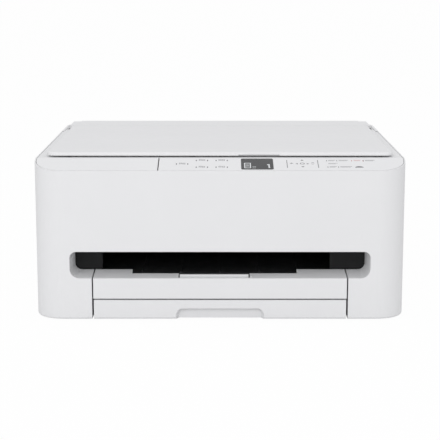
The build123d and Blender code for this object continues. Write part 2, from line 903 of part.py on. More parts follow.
def make_mechanism_cover():
    start = front + wall + 2
    edge = roof_back - 4.75
    with BuildPart() as cover:
        with BuildSketch(Plane.XY.offset(mechanism_cover_z)):
            with Locations((0, (start + mechanism_cover_back) / 2)):
                RectangleRounded(2 * inner_half - 14, mechanism_cover_back - start, 20)
            # Window over the carriage's way
            with Locations((0, (edge + mechanism_cover_back) / 2 + 1)):
                Rectangle(2 * plate_inner + 26, mechanism_cover_back - edge + 2, mode=Mode.SUBTRACT)
        extrude(amount=mechanism_cover_thickness)
        # Wall that stands on the roof over the output tray
        with BuildSketch(Plane.XY.offset(roof_bottom + roof_thickness)):
            with Locations((0, (front + bezel_depth + roof_back) / 2)):
                Rectangle(2 * roller_half + 8, 6)
        extrude(amount=mechanism_cover_z - roof_bottom - roof_thickness)
    return cover.part


def make_power_supply():
    with BuildPart() as supply:
        block(
            (-inner_half + 1.5, -inner_half + 1.5 + supply_width),
            (supply_back - supply_length, supply_back),
            (casing_bottom + wall + base_thickness, supply_top),
        )
        fillet(supply.edges().filter_by(Axis.Y), 1.5)
    return supply.part


def socket_shell(x, z, size, socket):
    """A socket's housing in the part being built, its mouth in the back wall."""
    far = (Align.CENTER, Align.MAX, Align.CENTER)
    with Locations((x, socket_face, z)):
        Box(*size, align=far)
        Box(*socket, align=far, mode=Mode.SUBTRACT)


def make_power_inlet():
    with BuildPart() as inlet:
        socket_shell(-socket_x, inlet_z, inlet_size, inlet_socket)
        for x in (-4.3, 4.3):
            with Locations(Plane((x - socket_x, socket_face - inlet_socket[1], inlet_z), z_dir=(0, 1, 0))):
                Cylinder(1.3, 11, align=(Align.CENTER, Align.CENTER, Align.MIN))
    return inlet.part


def make_data_port():
    with BuildPart() as port:
        socket_shell(socket_x, port_z, port_size, port_socket)
        with Locations((socket_x, socket_face - 2, port_z)):
            Box(5.6, port_socket[1] - 2, 3.2, align=(Align.CENTER, Align.MAX, Align.CENTER))
    return port.part


def make_main_board():
    with BuildPart() as board:
        block(
            (inner_half - 8, inner_half - 8 + board_thickness),
            (main_board_back - main_board_length, main_board_back),
            (casing_bottom + wall + base_thickness, main_board_top),
        )
        # Shielded processor, memory and power stages
        for y, z, size in ((90, 60, 26), (55, 70, 18), (30, 40, 20)):
            with Locations((inner_half - 8, main_board_back - y, z)):
                Box(3, size, size, align=(Align.MAX, Align.CENTER, Align.CENTER))
    return board.part


def pan_outline(inset):
    """The scanner pan's plan, round at the front and square at the back, in the sketch being built."""
    reach = pan_half - inset
    low = pan_front + inset
    high = pan_back - inset
    corner = pan_corner - inset
    with Locations((0, (low + high) / 2)):
        RectangleRounded(2 * reach, high - low, corner)
    with Locations((0, high - corner)):
        Rectangle(2 * reach, 2 * corner)


def make_scanner_frame():
    with BuildPart() as pan:
        with BuildSketch(Plane.XY.offset(pan_bottom)):
            pan_outline(0)
        extrude(amount=rim_top - cover_thickness - pan_bottom)
        with BuildSketch(Plane.XY.offset(pan_bottom + pan_wall)):
            pan_outline(pan_wall)
        extrude(amount=pan_depth, mode=Mode.SUBTRACT)
        # Cross wall between the panel's bay and the image sensor's bay
        bay_wall = (glass_front - 6, glass_front - 4)
        block((-pan_half, pan_half), bay_wall, (pan_bottom, rim_top - cover_thickness))
        # Bearings of the image sensor's rod
        for side in (-1, 1):
            edge = side * (pan_half - pan_wall)
            x = (min(edge, edge - side * 3), max(edge, edge - side * 3))
            block(x, (rod_y - 6, rod_y + 6), (pan_bottom, rod_z + 6))
        rod(-pan_half, pan_half, rod_y, rod_z, rod_radius + pin_clearance, Mode.SUBTRACT)
        add(surround_band(-30, cover_thickness, 0, back), mode=Mode.SUBTRACT)
        # The back wall is lower under the glass
        reach = glass_half + glass_overlap + contact_gap
        block(
            (-reach, reach),
            (pan_back - pan_wall - 1, pan_back + 1),
            (glass_low - contact_gap, rim_top),
            Mode.SUBTRACT,
        )
        # Hinge pins and the pivot of the stay
        for side in (-1, 1):
            start = side * (pan_half - pan_wall)
            end = side * (hinge_bracket_inner + hinge_bracket_thickness)
            rod(min(start, end), max(start, end), hinge_y, hinge_z, hinge_pin_radius)
        rod(-stay_inner - stay_thickness - 0.3, -pan_half, stay_y, stay_z, stay_pin_radius)
    return pan.part


def make_sensor_rod():
    with BuildPart() as sensor_rod:
        rod(-pan_half + 0.6, pan_half - 0.6, rod_y, rod_z, rod_radius)
    return sensor_rod.part


def make_image_sensor():
    right = sensor_left + sensor_width
    middle = sensor_left + sensor_width / 2
    with BuildPart() as sensor:
        block((sensor_left, right), (glass_front, glass_back - 6), (sensor_bottom, glass_low - contact_gap))
        block((sensor_left - 3, right + 3), (rod_y - 8, rod_y + 8), (rod_z - 5, sensor_bottom + 5))
        rod(sensor_left - 4, right + 4, rod_y, rod_z, rod_radius + pin_clearance, Mode.SUBTRACT)
        lens_y = (glass_front + 3, glass_back - 9)
        block((middle - 3, middle + 3), lens_y, (glass_low - 1.2, glass_low), Mode.SUBTRACT)
    return sensor.part


def make_platen_glass():
    with BuildPart() as glass:
        with BuildSketch(Plane.XY.offset(glass_low)):
            with Locations((0, (glass_front + glass_back) / 2)):
                length = glass_back - glass_front + 2 * glass_overlap - 0.5
                Rectangle(2 * (glass_half + glass_overlap), length)
        extrude(amount=glass_thickness)
    return glass.part


def make_scanner_top_cover():
    inset = rim_thickness + seam
    with BuildPart() as cover:
        add(surround_band(0, cover_thickness, inset, wide_cover_back))
        block(
            (-narrow_cover_half, narrow_cover_half),
            (wide_cover_back - 1, cover_back),
            (rim_top - cover_thickness, rim_top),
        )
        # Bay of the operation panel
        block(
            (panel_left - cover_slit, half_width),
            (front, panel_back + 0.5),
            (crease_height - 10, rim_top + 1),
            Mode.SUBTRACT,
        )
        # Window over the glass
        with BuildSketch(Plane.XY.offset(glass_low)):
            with Locations((0, (glass_front + glass_back) / 2)):
                RectangleRounded(2 * glass_half, glass_back - glass_front, 2)
        extrude(amount=2 * glass_thickness + cover_thickness, mode=Mode.SUBTRACT)
        # Trough that the back edge of the document cover turns in
        block(
            (-trough_half, trough_half),
            (trough_front, cover_back + 1),
            (trough_floor, rim_top + 1),
            Mode.SUBTRACT,
        )
        outer = trough_half + trough_wall
        low = trough_floor - 2
        block((-outer, outer), (trough_front - trough_wall, cover_back), (low, trough_floor))
        block((-outer, outer), (trough_front - trough_wall, trough_front), (low, rim_top - cover_thickness))
        for side in (-1, 1):
            x = sorted((side * trough_half, side * outer))
            block(x, (trough_front - trough_wall, cover_back), (low, rim_top))
        # Sockets that the hinge posts slide in
        for x in (-post_x, post_x):
            grow = socket_wall + contact_gap
            half = post_width / 2
            y = (lid_hinge_y - post_thickness / 2, lid_hinge_y + post_thickness / 2)
            block((x - half - grow, x + half + grow), (y[0] - grow, y[1] + grow), (socket_bottom, low))
            block(
                (x - half - contact_gap, x + half + contact_gap),
                (y[0] - contact_gap, y[1] + contact_gap),
                (socket_bottom - 1, rim_top),
                Mode.SUBTRACT,
            )
    return cover.part


def ledge_plane(drop=0.0):
    """The sloping ledge's plane: x to the right, y up the slope from the crease, lowered by drop."""
    angle = radians(ledge_slope)
    normal = Vector(0, -sin(angle), cos(angle))
    return Plane(Vector(0, front, crease_height) - normal * drop, x_dir=(1, 0, 0), z_dir=normal)


def make_operation_panel():
    inset = rim_thickness + seam
    with BuildPart() as panel:
        add(surround_band(0, cover_thickness, inset, panel_back))
        block((-half_width, panel_left), (front, back), (crease_height - 10, rim_top + 1), Mode.SUBTRACT)
        with BuildSketch(ledge_plane()):
            display_outline()
        extrude(amount=-display_thickness, mode=Mode.SUBTRACT)
    return panel.part


def display_outline(shrink=0.0):
    middle = ((display_left + display_right) / 2, (display_near + display_far) / 2)
    with Locations(middle):
        RectangleRounded(
            display_right - display_left - 2 * shrink,
            display_far - display_near - 2 * shrink,
            display_radius,
        )


def make_display_window():
    with BuildPart() as window:
        with BuildSketch(ledge_plane(display_thickness)):
            display_outline(0.1)
        extrude(amount=display_thickness)
    return window.part


def make_touch_board():
    drop = cover_thickness + 0.1
    with BuildPart() as board:
        with BuildSketch(ledge_plane(drop)):
            with Locations(touch_board_middle):
                Rectangle(*touch_board_size)
        extrude(amount=-board_thickness)
    return board.part


def make_hinge_brackets():
    with BuildPart() as brackets:
        for side in (-1, 1):
            inner = side * hinge_bracket_inner
            outer = side * (hinge_bracket_inner + hinge_bracket_thickness)
            low = min(inner, outer)
            rod(low, low + hinge_bracket_thickness, hinge_y, hinge_z, hinge_head_radius)
            block(
                (low, low + hinge_bracket_thickness),
                (hinge_y - hinge_head_radius, hinge_y + hinge_head_radius),
                (hinge_z - 12, hinge_z),
            )
            x = sorted((inner, side * inner_half))
            y = (hinge_y - hinge_head_radius, hinge_y + hinge_head_radius)
            block(x, y, (hinge_z - 12, hinge_z - 6))
            bore = hinge_pin_radius + pin_clearance
            rod(low - 1, low + hinge_bracket_thickness + 2, hinge_y, hinge_z, bore, Mode.SUBTRACT)
    return brackets.part


def stay_pin_at(opening):
    """Where the stay's lower pin stands, as (y, z), with the scanner unit opened by so many degrees."""
    turn = radians(opening)
    dy = stay_y - hinge_y
    dz = stay_z - hinge_z
    pivot = (hinge_y + dy * cos(turn) + dz * sin(turn), hinge_z - dy * sin(turn) + dz * cos(turn))
    lean = (1 + stay_ratio) * turn
    return (pivot[0] + stay_length * cos(lean), pivot[1] - stay_length * sin(lean))


def make_scanner_stay():
    with BuildPart() as stay:
        with BuildSketch(Plane.YZ.offset(-stay_inner - stay_thickness)):
            with Locations((stay_y + stay_length / 2, stay_z)):
                SlotCenterToCenter(stay_length, 2 * stay_half)
            with Locations((stay_y, stay_z)):
                Circle(stay_pin_radius + pin_clearance, mode=Mode.SUBTRACT)
        extrude(amount=stay_thickness)
        end = stay_y + stay_length
        tip = -stay_guide_inner - stay_guide_thickness - 0.5
        rod(tip, -stay_inner - stay_thickness, end, stay_z, stay_pin_radius)
    return stay.part


def make_stay_guide():
    start = -stay_guide_inner - stay_guide_thickness
    track = [stay_pin_at(scanner_opening * n / 2) for n in range(3)]
    face = Plane.YZ.offset(start)
    with BuildPart() as guide:
        with BuildSketch(face):
            with Locations(((track[0][0] + track[-1][0]) / 2, stay_z - 4.5)):
                RectangleRounded(track[0][0] - track[-1][0] + 16, 19, 3)
        extrude(amount=stay_guide_thickness)
        with BuildSketch(face) as slot:
            with BuildLine() as path:
                ThreePointArc(*track)
            SlotArc(path.edge(), 2 * stay_slot_half)
        extrude(slot.sketch, amount=stay_guide_thickness, mode=Mode.SUBTRACT)
        for y in (track[-1][0] - 5, track[0][0] + 5):
            block((-inner_half, start), (y - 2, y + 2), (stay_z - 11, stay_z))
    return guide.part


def make_hinge_posts():
    with BuildPart() as posts:
        for x in (-post_x, post_x):
            half = post_width / 2
            y = (lid_hinge_y - post_thickness / 2, lid_hinge_y + post_thickness / 2)
            block((x - half, x + half), y, (post_bottom, lid_hinge_z))
            rod(x - half, x + half, lid_hinge_y, lid_hinge_z, lid_knuckle_radius - 0.2)
            rod(x - half - 3, x + half + 3, lid_hinge_y, lid_hinge_z, lid_pin_radius)
    return posts.part


def make_document_cover():
    with BuildPart() as lid:
        with BuildSketch(Plane.XY.offset(lid_bottom)):
            with Locations((0, (lid_front + lid_back) / 2)):
                RectangleRounded(2 * lid_half, lid_back - lid_front, lid_corner)
            # The back corners are tighter than the front ones
            with Locations((0, lid_back - lid_corner)):
                RectangleRounded(2 * lid_half, 2 * lid_corner, lid_rear_corner)
        extrude(amount=lid_top - lid_bottom)
        fillet(lid.faces().sort_by(Axis.Z)[-1].edges(), lid_edge_radius)
        # Finger recess under the front edge
        with BuildSketch(Plane.XY.offset(lid_bottom)):
            with Locations(((lid_recess_left + lid_recess_right) / 2, lid_front)):
                SlotOverall(lid_recess_right - lid_recess_left, 6)
        extrude(amount=1.2, mode=Mode.SUBTRACT)
        # Bearings on the hinge posts
        for x in (-post_x, post_x):
            half = post_width / 2 + contact_gap
            for start in (x - half - 3, x + half):
                rod(start, start + 3, lid_hinge_y, lid_hinge_z, lid_boss_radius)
                block(
                    (start, start + 3),
                    (lid_hinge_y - lid_boss_radius, lid_hinge_y + lid_boss_radius - 0.5),
                    (lid_hinge_z, lid_bottom + 0.5),
                )
            block(
                (x - half, x + half),
                (lid_hinge_y - lid_knuckle_radius - 0.6, lid_back + 1),
                (lid_bottom - 1, lid_hinge_z + lid_knuckle_radius + 0.2),
                Mode.SUBTRACT,
            )
            bore = lid_pin_radius + pin_clearance
            rod(x - half - 4, x + half + 4, lid_hinge_y, lid_hinge_z, bore, Mode.SUBTRACT)
    return lid.part


def make_pressure_sheet():
    low = rim_top - cover_thickness + contact_gap
    with BuildPart() as sheet:
        with BuildSketch(Plane.XY.offset(low)):
            with Locations((0, (glass_front + glass_back) / 2)):
                RectangleRounded(2 * glass_half - 5, glass_back - glass_front - 6, 2)
        extrude(amount=lid_bottom - low)
    return sheet.part


def make_rear_tray_chute():
    low = deck_top - deck_thickness
    knee_z = deck_top - chute_knee_drop
    with BuildPart() as chute:
        block((-inner_half, inner_half), (rear_cover_front - 0.2, back - wall), (low, deck_top))
        with BuildSketch(Plane.XY.offset(low)):
            RectangleRounded(width - 2 * wall, depth - 2 * wall, corner_radius - wall)
        extrude(amount=deck_thickness, mode=Mode.INTERSECT)
        block((-chute_half, chute_half), (chute_front, chute_rear), (low - 1, deck_top + 1), Mode.SUBTRACT)
        # Sloping back plate, the short front plate and the side walls
        back_line = [(chute_rear, deck_top), (chute_bottom_y, chute_bottom_z)]
        side_profile(
            -chute_half,
            2 * chute_half,
            [
                back_line[0],
                back_line[1],
                (chute_bottom_y + chute_wall, chute_bottom_z - chute_wall / 2),
                (chute_rear + chute_wall, low),
                (chute_rear + chute_wall, deck_top),
            ],
        )
        side_profile(
            -chute_half,
            2 * chute_half,
            [
                (chute_front, deck_top),
                (chute_front - chute_wall, deck_top),
                (chute_front - chute_wall, knee_z),
                (chute_lip_y, chute_lip_z),
                (chute_lip_y + chute_wall, chute_lip_z - 1),
                (chute_front, knee_z - 1),
            ],
        )
        for side in (-1, 1):
            start = chute_half if side > 0 else -chute_half - chute_wall
            side_profile(
                start,
                chute_wall,
                [
                    (chute_front - chute_wall, deck_top - 0.5),
                    (chute_rear + chute_wall, deck_top - 0.5),
                    (chute_rear + chute_wall, low),
                    (chute_bottom_y + chute_wall, chute_bottom_z - chute_wall / 2),
                    (chute_bottom_y - 4, chute_bottom_z + 4),
                    (chute_lip_y, chute_lip_z),
                    (chute_front - chute_wall, knee_z),
                ],
            )
        # Ears and pins that carry the rear tray cover
        for x in (-rear_ear_x, rear_ear_x):
            ear = (x - rear_ear_width / 2, x + rear_ear_width / 2)
            rod(ear[0], ear[1], rear_hinge_y, rear_hinge_z, rear_ear_radius)
            block(ear, (rear_hinge_y - 2, rear_hinge_y + 2), (low, rear_hinge_z))
            rod(ear[0] - 3, ear[1] + 3, rear_hinge_y, rear_hinge_z, rear_pin_radius)
    return chute.part


def rear_slope():
    """Unit vectors up the back plate and square to it, towards the front, as (y, z)."""
    dy = chute_rear - chute_bottom_y
    dz = deck_top - chute_bottom_z
    length = sqrt(dy * dy + dz * dz)
    return (dy / length, dz / length), (-dz / length, dy / length)


def make_rear_guide(side):
    along, out = rear_slope()
    inner = side * paper_half
    outer = side * (paper_half + rear_guide_thickness)

    def place(up, away):
        return (
            chute_bottom_y + along[0] * up + out[0] * away,
            chute_bottom_z + along[1] * up + out[1] * away,
        )

    with BuildPart() as guide:
        side_profile(
            min(inner, outer),
            rear_guide_thickness,
            [place(38, 0.4), place(88, 0.4), place(88, rear_guide_height), place(60, rear_guide_height)],
        )
        foot = sorted((inner - side * 14, inner))
        side_profile(
            foot[0],
            14,
            [place(50, 0.4), place(80, 0.4), place(80, 1.6), place(50, 1.6)],
        )
    return guide.part


def make_rear_tray_cover():
    low = rear_cover_top - rear_cover_thickness
    half = narrow_cover_half
    with BuildPart() as cover:
        with BuildSketch(Plane.YZ.offset(-half)):
            with Locations((rear_hinge_y, rear_hinge_z)):
                Circle(rear_nose_radius)
            with BuildLine():
                Polyline(
                    (rear_cover_front, low),
                    (rear_cover_front, rear_cover_top),
                    (rear_hinge_y, rear_cover_top),
                    (rear_hinge_y, low),
                    close=True,
                )
            make_face()
        extrude(amount=2 * half)
        # Side walls under the panel
        for side in (-1, 1):
            x = sorted((side * half, side * (half - rear_cover_thickness)))
            block(x, (rear_cover_front, rear_corner_front - 2), (deck_top + contact_gap, low))
        # Rounded corners inside the casing's wall
        gap = half_width - half
        with BuildSketch(Plane.XY.offset(deck_top)):
            RectangleRounded(2 * half, depth - 2 * gap, corner_radius - gap)
        extrude(amount=2 * (rear_cover_top - deck_top), mode=Mode.INTERSECT)
        # The rolled edge ends short of the casing's corners
        for side in (-1, 1):
            x = sorted((side * rear_nose_half, side * half_width))
            y = (rear_hinge_y - rear_nose_radius - seam, back)
            block(x, y, (deck_top, rear_cover_top + 1), Mode.SUBTRACT)
        # Bevelled ends
        for side in (-1, 1):
            with BuildSketch(Plane.XZ.offset(-back)):
                with BuildLine():
                    Polyline(
                        (side * (half - rear_cover_bevel), rear_cover_top + 0.01),
                        (side * (half + 1), rear_cover_top + 0.01),
                        (side * (half + 1), rear_cover_top - rear_cover_bevel - 1),
                        close=True,
                    )
                make_face()
            extrude(amount=back - rear_cover_front + 1, mode=Mode.SUBTRACT)
        # Room for the ears and their pins
        for x in (-rear_ear_x, rear_ear_x):
            reach = rear_ear_width / 2 + contact_gap
            room = rear_ear_radius + contact_gap
            rod(x - reach, x + reach, rear_hinge_y, rear_hinge_z, room, Mode.SUBTRACT)
            block(
                (x - reach, x + reach),
                (rear_hinge_y - 2.5, rear_hinge_y + rear_nose_radius + 1),
                (rear_hinge_z - rear_nose_radius - 1, rear_hinge_z + 3.4),
                Mode.SUBTRACT,
            )
            bore = rear_pin_radius + pin_clearance
            rod(x - reach - 3.2, x + reach + 3.2, rear_hinge_y, rear_hinge_z, bore, Mode.SUBTRACT)
    return cover.part


def make_rear_access_cover():
    y_out = access_hinge_y + access_knuckle_radius
    with BuildPart() as cover:
        with BuildSketch(Plane.YZ.offset(-access_half)):
            with Locations((access_hinge_y, access_hinge_z)):
                Circle(access_knuckle_radius)
            with BuildLine():
                Polyline(
                    (y_out - access_thickness, access_hinge_z),
                    (y_out, access_hinge_z),
                    (y_out, access_top),
                    (y_out - access_thickness, access_top),
                    close=True,
                )
            make_face()
        extrude(amount=2 * access_half)
        # Paper guide ribs on the inside
        pitch = (access_half - 16) / 4
        rib_y = (y_out - access_thickness - 5, y_out - access_thickness)
        for x in [pitch * n for n in range(-4, 5)]:
            block((x - 1, x + 1), rib_y, (access_hinge_z + 20, access_top - 6))
        # Grip recess at the top
        with Locations((0, y_out, access_top - 8)):
            Box(40, 2.6, 8, mode=Mode.SUBTRACT)
        reach = access_half + 3.5 + 2
        for side in (-1, 1):
            x = sorted((side * access_half, side * reach))
            rod(x[0], x[1], access_hinge_y, access_hinge_z, access_pin_radius)
    return cover.part


def make_u_turn_guide():
    with BuildPart() as guide:
        with BuildSketch(Plane.YZ.offset(-u_turn_half)):
            with BuildLine():
                outer = CenterArc((u_turn_y, u_turn_z), u_turn_outer, -30, 105)
                inner = CenterArc((u_turn_y, u_turn_z), u_turn_inner, -30, 105)
                Line(outer @ 0, inner @ 0)
                Line(outer @ 1, inner @ 1)
            make_face()
        extrude(amount=2 * u_turn_half)
        # Stands on the base frame behind the bay
        pitch = (u_turn_half - 20) * 2 / 3
        stand_y = (u_turn_y + 25, u_turn_y + u_turn_outer + 6)
        for x in [pitch * (n - 1.5) for n in range(4)]:
            block((x - 1.5, x + 1.5), stand_y, (cross_wall_top, u_turn_z + 12))
        with BuildSketch(Plane.YZ.offset(-u_turn_half)):
            with Locations((u_turn_y, u_turn_z)):
                Circle(u_turn_inner)
        extrude(amount=2 * u_turn_half, mode=Mode.SUBTRACT)
    return guide.part


def lip_height(t):
    """The height of the slot's sloping floor, t behind the front."""
    return slot_bottom + t * tan(radians(bezel_draft))


def make_output_tray_front():
    with BuildPart() as tray_front:
        side_profile(
            -tray_front_half,
            2 * tray_front_half,
            [
                (front, tray_front_bottom),
                (front, slot_bottom),
                (front + lip_depth, lip_height(lip_depth)),
                (front + lip_depth, tray_front_bottom),
            ],
        )
        # Hollow from below
        block(
            (-tray_front_half + 2.5, tray_front_half - 2.5),
            (front + 2.5, front + lip_depth - 2.5),
            (tray_front_bottom - 1, tray_floor_top - 5),
            Mode.SUBTRACT,
        )
        # Shorter lip over the middle
        block(
            (lip_cut_left, lip_cut_right),
            (front + lip_cut_start, front + lip_depth + 1),
            (tray_floor_top - 1.5, slot_bottom + 10),
            Mode.SUBTRACT,
        )
        # Seat of the output support flap, deeper where the flap's raised edge turns
        seat_x = (flap_left - flap_slit, flap_right + flap_slit)
        seat_front = front + flap_start - 1.7
        seat_back = front + flap_start + flap_length + 0.5
        block(seat_x, (seat_front, seat_back), (tray_floor_top - 1.5, slot_bottom + 10), Mode.SUBTRACT)
        block(seat_x, (seat_front, seat_front + 5.2), (tray_floor_top - 2.5, tray_floor_top), Mode.SUBTRACT)
        for x in (flap_left - flap_slit - 3, flap_right + flap_slit):
            rod(x - 0.1, x + 3.1, flap_pin_y, flap_pin_z, flap_pin_radius + pin_clearance, Mode.SUBTRACT)
    return tray_front.part


def make_output_support():
    with BuildPart() as flap:
        y0 = front + flap_start
        low = tray_floor_top - 1.5 + contact_gap
        side_profile(
            flap_left,
            flap_right - flap_left,
            [
                (y0 + 0.2, low + 0.6),
                (y0 + 0.2, slot_bottom + flap_lip - 0.4),
                (y0 + 0.6, slot_bottom + flap_lip),
                (y0 + 1.8, slot_bottom + flap_lip),
                (y0 + 1.8, slot_bottom + 1.3),
                (y0 + flap_length, slot_bottom - 0.7),
                (y0 + flap_length, low),
                (y0 + 0.8, low),
            ],
        )
        for x in (flap_left - flap_slit - 2.6, flap_right):
            rod(x, x + flap_slit + 2.6, flap_pin_y, flap_pin_z, flap_pin_radius)
    return flap.part


def make_output_tray_floor():
    low = tray_floor_top - tray_floor_thickness
    start = front + lip_depth
    with BuildPart() as floor:
        block((-tray_side_half, tray_side_half), (start, tray_floor_back), (low, tray_floor_top))
        for side in (-1, 1):
            x = sorted((side * tray_side_half, side * (tray_side_half - 2)))
            block(x, (start, tray_floor_back), (tray_ledge_z + ledge_height + contact_gap, low))
            x = sorted((side * tray_side_half, side * runner_half))
            z = tray_ledge_z + ledge_height + contact_gap
            block(x, (start + 5, tray_floor_back), (z, z + runner_height))
        # Ribs along the paper's way
        pitch = (tray_side_half - 4.6) / 3
        for x in [pitch * n for n in range(-2, 3)]:
            y = (start + 4, tray_floor_back - 4)
            block((x - 0.8, x + 0.8), y, (tray_floor_top, tray_floor_top + 1))
    return floor.part


def make_cassette_front():
    with BuildPart() as cassette_front:
        block(
            (-cassette_front_half, cassette_front_half),
            (front, front + cassette_front_thickness),
            (cassette_front_bottom, cassette_front_top),
        )
        fillet(cassette_front.edges().filter_by(Axis.X).group_by(Axis.Z)[0].sort_by(Axis.Y)[0], 2.4)
        # Hollow from behind on both sides of the grip
        for side in (-1, 1):
            x = sorted((side * (recess_half + 4), side * (cassette_front_half - 2.5)))
            block(
                x,
                (front + 2.5, front + cassette_front_thickness + 1),
                (cassette_front_bottom + 2.5, cassette_front_top - 2.5),
                Mode.SUBTRACT,
            )
        # Grip scooped out of the lower edge, deepest at the bottom
        with BuildSketch(Plane.XZ.offset(-front)):
            with Locations((0, recess_top - 20)):
                RectangleRounded(2 * recess_half, 40, recess_radius)
        extrude(amount=-recess_depth, taper=22, mode=Mode.SUBTRACT)
    return cassette_front.part


def make_cassette_tray():
    start = front + cassette_front_thickness
    with BuildPart() as tray:
        side = (-tray_side_half, tray_side_half)
        block(side, (start, cassette_back), (cassette_bottom, cassette_side_top))
        block(
            (-tray_side_half + cassette_wall, tray_side_half - cassette_wall),
            (start + cassette_wall, cassette_back - cassette_wall),
            (cassette_bottom + cassette_wall, cassette_side_top + 1),
            Mode.SUBTRACT,
        )
        z = cassette_ledge_z + ledge_height + contact_gap
        for side in (-1, 1):
            x = sorted((side * tray_side_half, side * runner_half))
            block(x, (start + 24, cassette_back), (z, z + runner_height))
        # Stud of the guide pinion
        top = cassette_bottom + cassette_wall
        with Locations((0, rack_line, top)):
            Cylinder(rack_stud_radius, 3.2, align=(Align.CENTER, Align.CENTER, Align.MIN))
    return tray.part


def rack_floor():
    return cassette_bottom + cassette_wall + contact_gap


def make_cassette_guide(side):
    """A width guide with its rack: side 1 is the right one, whose rack runs behind the pinion."""
    pitch_radius = rack_module * rack_pinion_teeth / 2
    pitch_line = rack_line + side * pitch_radius
    tooth_pitch = pi * rack_module
    slope = tan(radians(pressure_angle))
    half_tooth = tooth_pitch / 4 - gear_backlash / 2
    ends = sorted((-side * rack_reach, side * (paper_half + guide_wall)))
    with BuildPart() as guide:
        root = pitch_line + side * rack_dedendum
        back_edge = root + side * rack_width
        with BuildSketch(Plane.XY.offset(rack_floor())):
            with Locations(((ends[0] + ends[1]) / 2, (root + back_edge) / 2)):
                Rectangle(ends[1] - ends[0], rack_width)
            for n in range(-rack_teeth_before(), rack_teeth_after() + 1):
                middle = side * n * tooth_pitch
                base = half_tooth + rack_dedendum * slope
                tip = half_tooth - rack_addendum * slope
                with BuildLine():
                    Polyline(
                        (middle - base, root),
                        (middle - tip, pitch_line - side * rack_addendum),
                        (middle + tip, pitch_line - side * rack_addendum),
                        (middle + base, root),
                        close=True,
                    )
                make_face()
        extrude(amount=rack_thickness)
        top = rack_floor() + rack_thickness + contact_gap
        x = sorted((side * paper_half, side * (paper_half + guide_wall)))
        block(x, (guide_front, guide_back), (top, top + guide_height))
        y = sorted((root, back_edge))
        block(x, y, (rack_floor(), top + 1))
        # Foot under the paper's edge
        foot = sorted((side * (paper_half - 12), side * paper_half))
        block(foot, (guide_front + 60 - 12 * side, guide_front + 100 - 12 * side), (top, top + 1))
    return guide.part


def rack_teeth_before():
    return int(rack_reach / (pi * rack_module)) - 1


def rack_teeth_after():
    return int((guide_travel + rack_reach) / (pi * rack_module))


def make_cassette_pinion():
    with BuildPart() as pinion:
        with BuildSketch(Plane((0, rack_line, rack_floor()))):
            with BuildLine():
                phase = 180 / rack_pinion_teeth
                Polyline(*gear_points(rack_pinion_teeth, rack_module, phase), close=True)
            make_face()
            Circle(rack_stud_radius + pin_clearance, mode=Mode.SUBTRACT)
        extrude(amount=rack_thickness)
    return pinion.part


def make_length_guide():
    low = rack_floor()
    y = front + cassette_front_thickness + cassette_wall + 1.5
    with BuildPart() as guide:
        block((-22, 22), (y, y + 2), (low, low + 12))
        block((-16, 16), (y, y + 26), (low, low + 1.5))
        fillet(guide.edges().filter_by(Axis.Y).group_by(Axis.Z)[-1], 4)
    return guide.part


def save(part, name):
    part.label = name
    export_step(part, f"parts/{name}.step")


